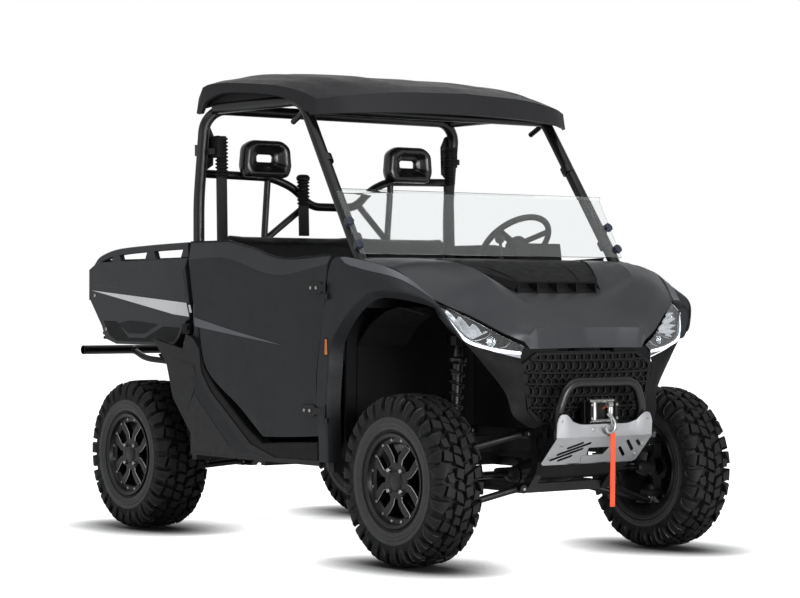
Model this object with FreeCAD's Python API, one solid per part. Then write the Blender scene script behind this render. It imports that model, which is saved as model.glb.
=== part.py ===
# Side by side utility vehicle: two-door open cab, half windscreen, tipping bed.
# +X is forward, +Y is the vehicle's left, +Z is up; the origin is on the floor under its middle.
import FreeCAD, Part
import math
import os

V = FreeCAD.Vector
os.makedirs("parts", exist_ok=True)

# The whole vehicle
wheelbase = 2070
front_overhang = 425
rear_overhang = 665
half_length = (front_overhang + wheelbase + rear_overhang) / 2
half_width = 775
roof_height = 2081
front_axle_x = half_length - front_overhang
rear_axle_x = front_axle_x - wheelbase

# Clearances: a seat between two pieces, a running gap and how far a cut runs past a face
seat_gap = 0.3
running_gap = 2.0
overrun = 20

# Straight faces round a plain tube or bar
tube_sides = 8

# Wheels
tyre_diameter = 686
tyre_radius = tyre_diameter / 2
axle_height = tyre_radius
front_tyre_width = 225
rear_tyre_width = 265
lug_depth = 18
lug_count = 12
wheel_sides = 16
rim_diameter = 356
bead_radius = rim_diameter / 2
rim_lip = 12
barrel_wall = 14
rim_side_inset = 20
wheel_face_inset = 32
wheel_face_thickness = 26
spoke_pair_count = 4
wheel_hub_radius = 62
lug_circle_radius = 56
lug_hole_radius = 6
hub_spindle_radius = 36
bearing_gap = 0.7
brake_disc_radius = 118
brake_disc_thickness = 5

# Where the axles stand on the body's own scales, which run from -1 to 1 and from 0 to 1
front_axle_share = 0.731
rear_axle_share = -0.5791
axle_height_share = 0.1648


def place_x(share):
    """A place along the body: it keeps its part of the overhang or of the wheelbase."""
    if share > front_axle_share:
        return front_axle_x + front_overhang * (share - front_axle_share) / (1 - front_axle_share)
    if share < rear_axle_share:
        return rear_axle_x - rear_overhang * (rear_axle_share - share) / (1 + rear_axle_share)
    return rear_axle_x + wheelbase * (share - rear_axle_share) / (front_axle_share - rear_axle_share)


def place_y(share):
    return share * half_width


def place_z(share):
    """A height on the body: it keeps its part of the axle's height or of what stands above it."""
    if share < axle_height_share:
        return axle_height * share / axle_height_share
    above = roof_height - axle_height
    return axle_height + above * (share - axle_height_share) / (1 - axle_height_share)


# Steering
kingpin_inset = 62.5
kingpin_y = half_width - front_tyre_width / 2 - kingpin_inset
ball_joint_reach = 100
knuckle_plate = 24
steer_arm_length = 105
tie_rod_radius = 9
tie_rod_eye = 25
bearing_radius = 62
bearing_length = 42
bearing_inset = 22
ball_puck_radius = 16
ball_puck_height = 30

# Suspension arms and shocks
arm_tube = 28
arm_spread = 150
upper_arm_spread = 180
upper_arm_tip = 26
arm_sides = 6
lower_arm_z_share = 0.1432
lower_arm_z = place_z(lower_arm_z_share)
upper_arm_z_share = 0.2499
upper_arm_z = place_z(upper_arm_z_share)
shaft_radius = 13
joint_boot_radius = 36
coil_radius = 36
damper_radius = 15
coil_turns = 3

# Steel frame
rail_width = 36
rail_y_share = 0.2581
rail_y = place_y(rail_y_share)
floor_z_share = 0.198
floor_z = place_z(floor_z_share)
floor_thickness = 12

# Cage tubes
cage_tube = 50
cage_bend = 60
bar_tube = 38
brace_tube = 30

# Body shells
body_skin = 12
door_outer_y_share = 0.9703
door_outer_y = place_y(door_outer_y_share)
sill_outer_y_share = 0.9806
sill_outer_y = place_y(sill_outer_y_share)
sill_thickness = 31.7
panel_gap = 6
inner_width_share = 0.8903
inner_width = place_y(inner_width_share)

# Bed
bed_side_y_share = 0.9032
bed_side_y = place_y(bed_side_y_share)
bed_side_thickness = 45
bed_floor_z_share = 0.4253
bed_floor_z = place_z(bed_floor_z_share)
bed_floor_thickness = 14
bed_inner_y_share = 0.7226
bed_inner_y = place_y(bed_inner_y_share)
bed_wall = 12
bed_front_x_share = -0.3196
bed_front_x = place_x(bed_front_x_share)
bed_rear_x_share = -0.8418
bed_rear_x = place_x(bed_rear_x_share)
bed_top_z_share = 0.6007
bed_top_z = place_z(bed_top_z_share)
rail_bar = 26
tailgate_thickness = 36
tailgate_height = 285
pivot_x_share = -0.7658
pivot_x = place_x(pivot_x_share)
pivot_z_share = 0.4065
pivot_z = place_z(pivot_z_share)


def spot(shares):
    """A point from its places along, across and up the body."""
    return V(place_x(shares[0]), place_y(shares[1]), place_z(shares[2]))


def spots(rows):
    return [spot(shares) for shares in rows]


def side_spots(rows, y):
    """Points on an upright plane from their places along and up the body."""
    return [V(place_x(shares[0]), y, place_z(shares[1])) for shares in rows]


def mirrored(shape):
    return shape.mirror(V(0, 0, 0), V(0, 1, 0))


def pair(shape):
    """A piece and its twin on the other side, as one node."""
    return Part.makeCompound([shape, mirrored(shape)])


def fused(shapes):
    first = shapes[0]
    if len(shapes) > 1:
        first = first.multiFuse(shapes[1:])
    return first.removeSplitter()


def save(name, shape):
    shape.exportStep("parts/" + name + ".step")


def solid_from(loops):
    """A solid closed by flat faces, each given by the loop of its corners."""
    faces = [Part.Face(Part.makePolygon(loop + loop[:1])) for loop in loops]
    solid = Part.makeSolid(Part.makeShell(faces))
    if solid.Volume < 0:
        solid.reverse()
    return solid


def triangles(grid):
    loops = []
    for row, nearer in enumerate(grid[:-1]):
        further = grid[row + 1]
        for column in range(len(nearer) - 1):
            a, b = nearer[column], nearer[column + 1]
            c, d = further[column + 1], further[column]
            loops += [[a, b, c], [a, c, d]]
    return loops


def skin(rows, inner):
    """A bent sheet between an outer grid of points and the same grid moved inward."""
    loops = triangles(rows) + [loop[::-1] for loop in triangles(inner)]
    rim = rows[0][:-1] + [row[-1] for row in rows[:-1]] + rows[-1][:0:-1]
    rim += [row[0] for row in rows[:0:-1]]
    back = inner[0][:-1] + [row[-1] for row in inner[:-1]] + inner[-1][:0:-1]
    back += [row[0] for row in inner[:0:-1]]
    for index, corner in enumerate(rim):
        after = (index + 1) % len(rim)
        loops.append([corner, back[index], back[after]])
        loops.append([corner, back[after], rim[after]])
    return solid_from(loops)


def moved(rows, step):
    return [[point + step for point in row] for row in rows]


def whole_rows(half_rows):
    """Rows from the right edge to the left one, out of rows from the middle to the left edge."""
    return [[V(p.x, -p.y, p.z) for p in row[:0:-1]] + row for row in half_rows]


def inward(half_rows, back, side, down):
    """The same grid moved back, down and towards the middle, except on the middle line."""
    grid = []
    for row in half_rows:
        grid.append([V(p.x - back, p.y - (side if p.y > side else 0), p.z - down) for p in row])
    return grid


def slab(corners, step):
    """A flat plate: an outline of corners pushed along a step."""
    return Part.Face(Part.makePolygon(corners + corners[:1])).extrude(step)


def box(low, high):
    """A block between two opposite corners."""
    size = high - low
    return Part.makeBox(size.x, size.y, size.z, low)


def round_bar(start, end, diameter):
    along = end - start
    return Part.makeCylinder(diameter / 2, along.Length, start, along)


def rod(start, end, diameter, sides=tube_sides):
    """A straight many-sided bar."""
    along = end - start
    return turned(start, along, [(0, diameter / 2), (along.Length, diameter / 2)], sides)


def ribbon(points, thickness, y_low, y_high):
    """A strip seen from the side: a line of points given a thickness below it, and a width."""
    left, right = [], []
    for index, point in enumerate(points):
        before = points[max(index - 1, 0)]
        after = points[min(index + 1, len(points) - 1)]
        if index in (0, len(points) - 1):
            along = (after - before).normalize()
            offset = V(-along.z, 0, along.x) * thickness
        else:
            first = (point - before).normalize()
            second = (after - point).normalize()
            middle = (V(-first.z, 0, first.x) + V(-second.z, 0, second.x)).normalize()
            offset = middle * (thickness / middle.dot(V(-first.z, 0, first.x)))
        left.append(V(point.x, y_low, point.z))
        right.append(V(point.x - offset.x, y_low, point.z - offset.z))
    return slab(left + right[::-1], V(0, y_high - y_low, 0))


def tube(points, corner, diameter, sides=tube_sides):
    """A many-sided tube along a bent line, each corner taken in two mitres."""
    path = [points[0]]
    for before, here, after in zip(points, points[1:], points[2:]):
        path += [here + (before - here).normalize() * corner, here + (after - here).normalize() * corner]
    path.append(points[-1])
    along = (path[1] - path[0]).normalize()
    first, second = across(along)
    ring = []
    for index in range(sides):
        angle = 2 * math.pi * index / sides
        swing = first * math.cos(angle) + second * math.sin(angle)
        ring.append(path[0] + swing * (diameter / 2))
    rings = [ring]
    for index, here in enumerate(path[1:], 1):
        further = path[min(index + 1, len(path) - 1)]
        out = (further - here).normalize() if further != here else along
        facing = (along + out).normalize()
        ring = [point + along * ((here - point).dot(facing) / along.dot(facing)) for point in ring]
        rings.append(ring)
        along = out
    return solid_from(ring_loops(rings) + [rings[0], rings[-1]])


def across(direction):
    """Two unit vectors square to a direction."""
    up = V(0, 0, 1) if abs(direction.z) < abs(direction.x) + abs(direction.y) else V(1, 0, 0)
    first = direction.cross(up).normalize()
    return first, direction.cross(first).normalize()


def ring_loops(rings):
    """Four-cornered faces between each ring of points and the next."""
    loops = []
    for near, far in zip(rings, rings[1:]):
        for index in range(len(near)):
            after = (index + 1) % len(near)
            loops.append([near[index], near[after], far[after], far[index]])
    return loops


def turned(start, direction, profile, sides):
    """A many-sided solid of revolution from (distance along, radius) steps."""
    direction = V(direction).normalize()
    first, second = across(direction)
    rings = []
    for along, radius in profile:
        ring = []
        for index in range(sides):
            angle = 2 * math.pi * index / sides
            swing = first * math.cos(angle) + second * math.sin(angle)
            ring.append(start + direction * along + swing * radius)
        rings.append(ring)
    return solid_from(ring_loops(rings) + [rings[0], rings[-1]])


def ring_solid(middle, axis, radius, thickness, turns, sides):
    """A many-sided ring, such as a steering wheel's rim."""
    axis = V(axis).normalize()
    first, second = across(axis)
    rings = []
    for index in range(turns):
        angle = 2 * math.pi * index / turns
        out = first * math.cos(angle) + second * math.sin(angle)
        ring = []
        for step in range(sides):
            turn = 2 * math.pi * step / sides
            ring.append(middle + out * (radius + thickness / 2 * math.cos(turn))
                        + axis * (thickness / 2 * math.sin(turn)))
        rings.append(ring)
    return solid_from(ring_loops(rings + rings[:1]))


def toothed(y, radius, depth, phase):
    """One outline of a lugged tread at a station across the tyre."""
    points = []
    for index in range(lug_count):
        start = 2 * math.pi * (index + phase) / lug_count
        for turn_share, low in ((0, 0), (lug_share, 0), (lug_share, 1), (1, 1)):
            angle = start + 2 * math.pi * turn_share / lug_count
            reach = radius - depth * low
            points.append(V(reach * math.cos(angle), y, reach * math.sin(angle)))
    return points


def band(near, far):
    """A closed ring-shaped block between two toothed outlines."""
    return solid_from(ring_loops([near, far]) + [near, far])


lug_share = 0.55
tread_edge_share = 0.34
tread_row_shares = [(-tread_edge_share, 0, 0.5), (0, tread_edge_share, 0)]
shoulder_share = 0.46
shoulder_drop = 48
sidewall_radius = 290
bead_width_share = 0.38


def tyre(width):
    """A lugged tyre about the Y axis: staggered rows of lugs, sloped shoulders and a bored middle."""
    pieces = []
    for low_share, high_share, phase in tread_row_shares:
        near = toothed(low_share * width, tyre_radius, lug_depth, phase)
        far = toothed(high_share * width, tyre_radius, lug_depth, phase)
        pieces.append(band(near, far))
    for side, phase in ((-1, 0.5), (1, 0)):
        near = toothed(side * tread_edge_share * width, tyre_radius, lug_depth, phase)
        far = toothed(side * shoulder_share * width, tyre_radius - shoulder_drop, lug_depth / 2, phase)
        pieces.append(band(near, far))
    profile = [(-bead_width_share * width, bead_radius + rim_lip),
               (-width / 2, sidewall_radius - lug_depth),
               (-shoulder_share * width, tyre_radius - shoulder_drop - lug_depth / 2),
               (-tread_edge_share * width, tyre_radius - lug_depth),
               (tread_edge_share * width, tyre_radius - lug_depth),
               (shoulder_share * width, tyre_radius - shoulder_drop - lug_depth / 2),
               (width / 2, sidewall_radius - lug_depth),
               (bead_width_share * width, bead_radius + rim_lip)]
    pieces.append(turned(V(0, 0, 0), V(0, 1, 0), profile, 2 * lug_count))
    half = width / 2 + overrun
    bore = rod(V(0, -half, 0), V(0, half, 0), 2 * (bead_radius + seat_gap), wheel_sides)
    return fused(pieces).cut(bore)


def rim(width):
    """A wheel about the Y axis with its face on the outer (+Y) side: barrel, lips, spokes and hub."""
    rim_low = -bead_width_share * width - rim_side_inset / 2
    rim_high = width / 2 - rim_side_inset
    face_y = width / 2 - wheel_face_inset
    barrel = rod(V(0, rim_low, 0), V(0, rim_high, 0), 2 * bead_radius, wheel_sides)
    barrel = barrel.cut(rod(V(0, rim_low - overrun, 0), V(0, rim_high + overrun, 0),
                            2 * (bead_radius - barrel_wall), wheel_sides))
    hub = rod(V(0, face_y - wheel_face_thickness, 0), V(0, face_y, 0),
              2 * (wheel_hub_radius + rim_lip), wheel_sides // 2)
    pieces = [barrel, hub]
    spoke_root = wheel_hub_radius
    spoke_tip = bead_radius - barrel_wall / 2
    for index in range(spoke_pair_count):
        for side in (-1, 1):
            angle = 2 * math.pi * index / spoke_pair_count
            near = angle + side * spoke_root_angle
            far = angle + side * spoke_tip_angle
            start = V(spoke_root * math.cos(near), 0, spoke_root * math.sin(near))
            end = V(spoke_tip * math.cos(far), 0, spoke_tip * math.sin(far))
            sideways = (end - start).cross(V(0, 1, 0)).normalize() * (spoke_width / 2)
            corners = [start + sideways, end + sideways, end - sideways, start - sideways]
            corners = [corner + V(0, face_y - wheel_face_thickness, 0) for corner in corners]
            pieces.append(slab(corners, V(0, wheel_face_thickness - spoke_drop, 0)))
    wheel = fused(pieces)
    for index in range(spoke_pair_count):
        angle = 2 * math.pi * (index + 0.5) / spoke_pair_count
        place = V(lug_circle_radius * math.cos(angle), face_y - wheel_face_thickness - overrun,
                  lug_circle_radius * math.sin(angle))
        wheel = wheel.cut(rod(place, place + V(0, wheel_face_thickness + 2 * overrun, 0),
                              2 * lug_hole_radius, lug_hole_sides))
    return wheel


def hub(width):
    """The turning hub behind a wheel's face: spindle, brake disc and flange."""
    seat_y = width / 2 - wheel_face_inset - wheel_face_thickness - seat_gap
    disc_y = seat_y - bearing_inset
    spindle = rod(V(0, seat_y - hub_length, 0), V(0, disc_y, 0), 2 * (hub_spindle_radius - bearing_gap),
                  wheel_sides)
    disc = rod(V(0, disc_y, 0), V(0, disc_y + brake_disc_thickness, 0), 2 * brake_disc_radius,
               wheel_sides)
    flange = rod(V(0, disc_y, 0), V(0, seat_y, 0), 2 * wheel_hub_radius, wheel_sides // 2)
    return fused([spindle, disc, flange])


lug_hole_sides = 6
spoke_root_angle = math.radians(14)
spoke_tip_angle = math.radians(31)
spoke_width = 20
spoke_drop = 6
hub_length = 84


def put(shape, x, y, side):
    """Moves a piece made about the Y axis to a wheel's place; side is +1 left, -1 right."""
    piece = shape.copy()
    if side < 0:
        piece = mirrored(piece)
    piece.translate(V(x, side * y, axle_height))
    return piece


front_wheel_y = half_width - front_tyre_width / 2
rear_wheel_y = half_width - rear_tyre_width / 2
wheel_places = [("front", front_axle_x, front_wheel_y, front_tyre_width),
                ("rear", rear_axle_x, rear_wheel_y, rear_tyre_width)]


def wheels():
    for name, x, y, width in wheel_places:
        tyre_shape = tyre(width)
        wheel_shape = Part.makeCompound([rim(width), hub(width)])
        for side_name, side in (("left", 1), ("right", -1)):
            save(name + "_" + side_name + "_tyre", put(tyre_shape, x, y, side))
            save(name + "_" + side_name + "_wheel", put(wheel_shape, x, y, side))


def bearing(width, wheel_y):
    """The ring that carries a hub's spindle, on the left side of the vehicle."""
    disc_y = wheel_y + width / 2 - wheel_face_inset - wheel_face_thickness - seat_gap - bearing_inset
    high = disc_y - running_gap
    low = high - bearing_length
    return low, high


def bearing_ring(x, low, high):
    outer = rod(V(x, low, axle_height), V(x, high, axle_height), 2 * bearing_radius, wheel_sides // 2)
    bore = rod(V(x, low - overrun, axle_height), V(x, high + overrun, axle_height),
               2 * hub_spindle_radius, wheel_sides)
    return outer, bore


def knuckle():
    """Left steering knuckle: bearing ring, upper and lower lugs on the kingpin and a steering arm."""
    low, high = bearing(front_tyre_width, front_wheel_y)
    outer, bore = bearing_ring(front_axle_x, low, high)
    half = knuckle_plate
    reach = ball_joint_reach
    pieces = [outer]
    for side in (-1, 1):
        post_low = V(front_axle_x - half, low, axle_height + (0 if side > 0 else -reach - half))
        post_high = V(front_axle_x + half, high, axle_height + (reach + half if side > 0 else 0))
        pieces.append(box(post_low, post_high))
        lug_z = axle_height + (reach if side > 0 else -reach - half)
        pieces.append(box(V(front_axle_x - half, kingpin_y - half, lug_z),
                          V(front_axle_x + half, high, lug_z + half)))
    arm_top = axle_height - tie_rod_radius - seat_gap
    pieces.append(box(V(front_axle_x - steer_arm_length - half / 2, kingpin_y - half / 2,
                        arm_top - steer_arm_plate),
                      V(front_axle_x - steer_arm_length + half / 2, high, arm_top)))
    pieces.append(box(V(front_axle_x - steer_arm_length, high - half, arm_top - steer_arm_plate),
                      V(front_axle_x, high, arm_top)))
    return fused(pieces).cut(bore)


steer_arm_plate = 14


def rear_carrier():
    """Left rear hub carrier: bearing ring with upper and lower lugs for the arms."""
    low, high = bearing(rear_tyre_width, rear_wheel_y)
    outer, bore = bearing_ring(rear_axle_x, low, high)
    half = knuckle_plate
    pieces = [outer]
    for side in (-1, 1):
        post_low = V(rear_axle_x - half, low, axle_height + (0 if side > 0 else -ball_joint_reach))
        post_high = V(rear_axle_x + half, high, axle_height + (ball_joint_reach if side > 0 else 0))
        pieces.append(box(post_low, post_high))
    return fused(pieces).cut(bore)


def arm_legs(x, inner_z, outer_y, outer_z, spread, tip_spread):
    """The two legs of an arm from their eyes beside the frame rails, with a block joining their tips."""
    inner_y = rail_y + rail_width / 2 + seat_gap + arm_eye / 2
    pieces = []
    for side in (-1, 1):
        start = V(x + side * spread, inner_y, inner_z)
        pieces.append(rod(start, V(x + side * tip_spread, outer_y - arm_tube, outer_z),
                          arm_tube, arm_sides))
        eye = start - V(arm_tube, 0, 0)
        pieces.append(rod(eye, eye + V(2 * arm_tube, 0, 0), arm_eye, arm_sides))
    half = arm_tube / 2
    pieces.append(box(V(x - tip_spread - half, outer_y - 2 * arm_tube, outer_z - half),
                      V(x + tip_spread + half, outer_y - half, outer_z + half)))
    return pieces


def shock_tie(rear, x, outer_y, outer_z):
    """Cross tie between a lower arm's legs, with the post that the shock stands on."""
    foot, top = shock_line(rear)
    inner_y = rail_y + rail_width / 2 + seat_gap + arm_eye / 2
    along = (foot.y - inner_y) / (outer_y - arm_tube - inner_y)
    z = lower_arm_z + (outer_z - lower_arm_z) * along
    reach = arm_spread + (arm_tube / 2 - arm_spread) * along
    half = arm_tube / 2
    tie = box(V(x - reach, foot.y - half, z - half / 2), V(x + reach, foot.y + half, z + half / 2))
    down = (foot - top).normalize()
    return [tie, rod(foot + down * seat_gap, foot + down * shock_post, 2 * damper_radius, arm_sides)]


def ball_puck(x, z):
    """Flat-ended ball joint case on the kingpin line."""
    half = ball_puck_height / 2
    return rod(V(x, kingpin_y, z - half), V(x, kingpin_y, z + half), 2 * ball_puck_radius, arm_sides)


arm_eye = 34
front_shock_top_share = (0.7177, 0.5355, 0.4171)
front_shock_foot_share = (0.7076, 0.5652, 0.1394)
rear_shock_top_share = (-0.5658, 0.5161, 0.3739)
rear_shock_foot_share = (-0.5557, 0.5548, 0.1394)


def shock_line(rear):
    top = spot(rear_shock_top_share if rear else front_shock_top_share)
    foot = spot(rear_shock_foot_share if rear else front_shock_foot_share)
    return foot, top


def shock(rear):
    """Left damper with its coil as a row of rounded turns."""
    foot, top = shock_line(rear)
    along = top - foot
    length = along.Length
    rod_share, coil_share = 0.2, 0.92
    profile = [(0, damper_radius), (rod_share * length, damper_radius)]
    pitch = (coil_share - rod_share) * length / coil_turns
    for index in range(coil_turns):
        start = rod_share * length + index * pitch
        profile += [(start + pitch / 2, coil_radius), (start + pitch, coil_radius - damper_radius)]
    profile += [(length * coil_share, damper_radius), (length, damper_radius)]
    return turned(foot, along, profile, 8)


def front_arms():
    """Left front upper and lower arms; the lower one carries the shock's foot on a post."""
    puck_z = axle_height + ball_joint_reach - seat_gap - ball_puck_height / 2
    upper = arm_legs(front_axle_x, upper_arm_z, kingpin_y, puck_z, upper_arm_spread, upper_arm_tip)
    upper.append(ball_puck(front_axle_x, puck_z))
    puck_z = axle_height - ball_joint_reach - knuckle_plate - seat_gap - ball_puck_height / 2
    lower = arm_legs(front_axle_x, lower_arm_z, kingpin_y, puck_z, arm_spread, arm_tube / 2)
    lower.append(ball_puck(front_axle_x, puck_z))
    lower += shock_tie(False, front_axle_x, kingpin_y, puck_z)
    return fused(upper), fused(lower)


shock_post = 47


def rear_arms():
    """Left rear upper and lower arms, both reaching the carrier's posts."""
    low, high = bearing(rear_tyre_width, rear_wheel_y)
    outer_y = low - seat_gap
    upper = arm_legs(rear_axle_x, upper_arm_z, outer_y, axle_height + rear_joint_z, upper_arm_spread,
                     upper_arm_tip)
    lower = arm_legs(rear_axle_x, lower_arm_z, outer_y, axle_height - rear_joint_z, arm_spread,
                     arm_tube / 2)
    half = arm_tube / 2
    for pieces, z in ((upper, axle_height + rear_joint_z), (lower, axle_height - rear_joint_z)):
        pieces.append(box(V(rear_axle_x - half, outer_y - arm_tube, z - half),
                          V(rear_axle_x + half, outer_y, z + half)))
    lower += shock_tie(True, rear_axle_x, outer_y, axle_height - rear_joint_z)
    return fused(upper), fused(lower)


rear_joint_z = 84
gearcase_half = 76
gearcase_waist = 61
gearcase_foot = 40
joint_room = 5
boot_bulge_share = 0.8
shaft_start_y = 130


def half_shafts():
    """Front and rear shafts of the left side, from the gearcases to inside the bearings."""
    shapes = []
    for x, width, wheel_y, steered in ((front_axle_x, front_tyre_width, front_wheel_y, True),
                                       (rear_axle_x, rear_tyre_width, rear_wheel_y, False)):
        seat_y = wheel_y + width / 2 - wheel_face_inset - wheel_face_thickness - seat_gap
        end_y = seat_y - hub_length - seat_gap
        reach = joint_boot_radius
        joint_y = end_y - reach
        if steered:
            room = end_y - kingpin_y - joint_room
            reach = math.sqrt(room ** 2 - shaft_radius ** 2)
            joint_y, end_y = kingpin_y, kingpin_y + reach
        shaft = rod(V(x, shaft_start_y, axle_height), V(x, end_y, axle_height),
                    2 * shaft_radius, arm_sides)
        bulge = joint_boot_radius * boot_bulge_share
        profile = [(-reach, shaft_radius), (-reach / 2, bulge), (0, joint_boot_radius),
                   (reach / 2, bulge),
                   (reach, shaft_radius)]
        boot = turned(V(x, joint_y, axle_height), V(0, 1, 0), profile, arm_sides)
        shapes.append(fused([shaft, boot]))
    return shapes


def gearcases():
    """Front and rear gearcases, each with a foot out to the nearest cross member."""
    shapes = []
    for x, cross_shares in ((front_axle_x, cross_places_shares[0]),
                            (rear_axle_x, cross_places_shares[3])):
        start = V(x, -shaft_start_y + seat_gap, axle_height)
        profile = [(0, gearcase_half / 2), (shaft_start_y / 2, gearcase_waist),
                   (shaft_start_y, gearcase_half), (3 * shaft_start_y / 2, gearcase_waist),
                   (2 * (shaft_start_y - seat_gap), gearcase_half / 2)]
        case = turned(start, V(0, 1, 0), profile, 12)
        cross_x, half = place_x(cross_shares[0]), gearcase_foot / 2
        middle_z = place_z(cross_shares[1]) - rail_width / 2
        near = cross_x + (rail_width / 2 + seat_gap) * (1 if cross_x < x else -1)
        foot = box(V(min(x, near), -half, middle_z - half / 2), V(max(x, near),
                                                                  half, middle_z + half / 2))
        shapes.append(fused([case, foot]))
    return shapes


rack_case_radius = 22
rack_case_half = 150
tie_rod_z = axle_height


def tie_rods():
    """Both tie rods with their eyes, one sliding body through the rack case."""
    x = front_axle_x - steer_arm_length
    z = tie_rod_z
    pieces = [rod(V(x, -kingpin_y, z), V(x, kingpin_y, z), 2 * tie_rod_radius)]
    for side in (-1, 1):
        pieces.append(rod(V(x, side * kingpin_y, z - tie_rod_radius),
                          V(x, side * kingpin_y, z + tie_rod_radius), tie_rod_eye))
    return fused(pieces)


def rack_case():
    x = front_axle_x - steer_arm_length
    z = tie_rod_z
    case = rod(V(x, -rack_case_half, z), V(x, rack_case_half, z), 2 * rack_case_radius)
    return case.cut(rod(V(x, -rack_case_half - overrun, z), V(x, rack_case_half + overrun, z),
                        2 * (tie_rod_radius + seat_gap)))


# Steel frame, as lines seen from the side
lower_rail_shares = [(-0.7405, 0.3796), (-0.7152, 0.2499), (-0.6582, 0.1519), (-0.4557, 0.1519),
                     (-0.4051, 0.1816), (0.481, 0.1816),
              (0.538, 0.1519), (0.8228, 0.1519), (0.9063, 0.2259), (0.9114, 0.2432)]
front_horn_shares = [(0.8829, 0.2432), (0.9456, 0.2432)]
front_post_shares = [(0.8608, 0.1922), (0.8291, 0.4277)]
inner_post_shares = [(0.5696, 0.1442), (0.5696, 0.4229)]
front_top_rail_shares = [(0.5063, 0.4349), (0.8386, 0.4349)]
front_middle_rail_shares = [(0.5696, 0.2585), (0.862, 0.2585)]
rear_top_rail_shares = [(-0.7658, 0.395), (-0.2658, 0.395)]
rear_middle_rail_shares = [(-0.7278, 0.2585), (-0.2785, 0.2585)]
seat_post_shares = [(-0.288, 0.173), (-0.288, 0.3844)]
cross_places_shares = [(0.8228, 0.1519), (0.5886, 0.1519), (-0.443, 0.1682), (-0.6709, 0.1691),
                       (0.9367, 0.2432)]
outrigger_places_shares = [(0.4051, 0.8955, 0), (0.0823, 0.8955, 0), (-0.2392, 0.9394, 0)]
cowl_bar_share = (0.5861, 0.9239, 0.5094)
tower_places_shares = [(0.7177, 0.5677, 0.4373), (-0.5658, 0.5548, 0.395)]
winch_plate_height = 136
bed_pivot_radius = 11
pivot_ear = 12
pivot_eye = 40
pivot_y_share = 0.3871
pivot_y = place_y(pivot_y_share)


def frame():
    """Welded chassis: rails, posts, cross members, outriggers, shock towers and bed pivot ears."""
    pieces = []
    half = rail_width / 2
    for shares in (lower_rail_shares, front_horn_shares, front_post_shares, inner_post_shares,
                   front_top_rail_shares, front_middle_rail_shares, rear_top_rail_shares,
                   rear_middle_rail_shares, seat_post_shares):
        pieces.append(ribbon(side_spots(shares, 0), rail_width, rail_y - half, rail_y + half))
    pieces += [mirrored(piece) for piece in pieces]
    for x_share, z_share in cross_places_shares:
        x, top = place_x(x_share), place_z(z_share)
        pieces.append(box(V(x - half, -rail_y, top - rail_width), V(x + half, rail_y, top)))
    top = floor_z - floor_thickness - seat_gap
    for place in spots(outrigger_places_shares):
        pieces.append(box(V(place.x - half, -place.y, top - rail_width - half),
                          V(place.x + half, place.y, top)))
    place = spot(cowl_bar_share)
    pieces.append(box(V(place.x - half, -place.y, place.z - rail_width),
                      V(place.x + half, place.y, place.z)))
    rail_low = place_z(front_top_rail_shares[0][1]) - rail_width
    for side in (-1, 1):
        pieces.append(box(V(place.x - half, side * rail_y - half, rail_low),
                          V(place.x + half, side * rail_y + half, place.z)))
    horn = side_spots(front_horn_shares, 0)[1]
    plate_x = fairlead_x - seat_gap
    pieces.append(box(V(plate_x - pivot_ear, -fairlead_half, horn.z - half),
                      V(plate_x, fairlead_half, horn.z + winch_plate_height)))
    for place in spots(tower_places_shares):
        pieces.append(box(V(place.x - half, -place.y, place.z - rail_width),
                          V(place.x + half, place.y, place.z)))
    for rear in (False, True):
        foot, top = shock_line(rear)
        up = (top - foot).normalize()
        post = rod(top + up * seat_gap, top + up * shock_head, 2 * damper_radius, 8)
        pieces += [post, mirrored(post)]
    for place in spots(tower_places_shares):
        for side in (-1, 1):
            y = side * rail_y
            low = min(place.z, place_z(rear_top_rail_shares[0][1])) - rail_width
            pieces.append(box(V(place.x - half, y - half, low), V(place.x + half, y + half, place.z)))
    pieces += rests()
    for side in (-1, 1):
        y = side * pivot_y
        ear = box(V(pivot_x - pivot_eye / 2, min(y, y - side * pivot_ear), pivot_z - rail_width),
                  V(pivot_x + pivot_eye / 2, max(y, y - side * pivot_ear), pivot_z))
        eye = rod(V(pivot_x, y - side * pivot_ear, pivot_z), V(pivot_x, y, pivot_z), pivot_eye)
        low, high = sorted((side * (rail_y - half), y))
        shelf = box(V(pivot_x - pivot_eye / 2, low, pivot_z - rail_width - pivot_ear),
                    V(pivot_x + pivot_eye / 2, high, pivot_z - rail_width))
        pin = round_bar(V(pivot_x, y - side * pivot_ear, pivot_z),
                        V(pivot_x, y + side * pivot_pin, pivot_z),
                        2 * bed_pivot_radius)
        pieces += [ear, eye, shelf, pin]
    return fused(pieces)


front_truss_share = 0.5025
rear_truss_share = -0.2563


def frame_parts():
    """The chassis parted at the faces of its side rails and ahead of and behind the floor."""
    whole = frame()
    half = rail_width / 2
    low, high = rail_y - half, rail_y + half
    front, rear = place_x(front_truss_share), place_x(rear_truss_share)
    far = 2 * half_length

    def part(x_low, x_high, y_low, y_high):
        return whole.common(box(V(x_low, y_low, 0), V(x_high, y_high, roof_height)))
    side_front = part(front + seat_gap, far, low, high)
    side_rear = part(-far, rear - seat_gap, low, high)
    floor_rail = part(rear, front, low, high)
    outer = part(-far, far, high + seat_gap, half_width)
    middle = part(-far, far, seat_gap - low, low - seat_gap)
    between = [middle, floor_rail, mirrored(floor_rail), outer, mirrored(outer)]
    return pair(side_front), pair(side_rear), Part.makeCompound(between)


shock_head = 26
pivot_pin = 22
hood_rest_share = (0.7532, 0.2581, 0.5344)
hood_rest_width = 24
roof_rests_shares = [(-0.0696, 0.8452, 0.963), (0.1392, 0.8413, 0.9447)]
roof_rest_width = 24
fender_tab_y_share = 0.9677
fender_tab_y = place_y(fender_tab_y_share)


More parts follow.
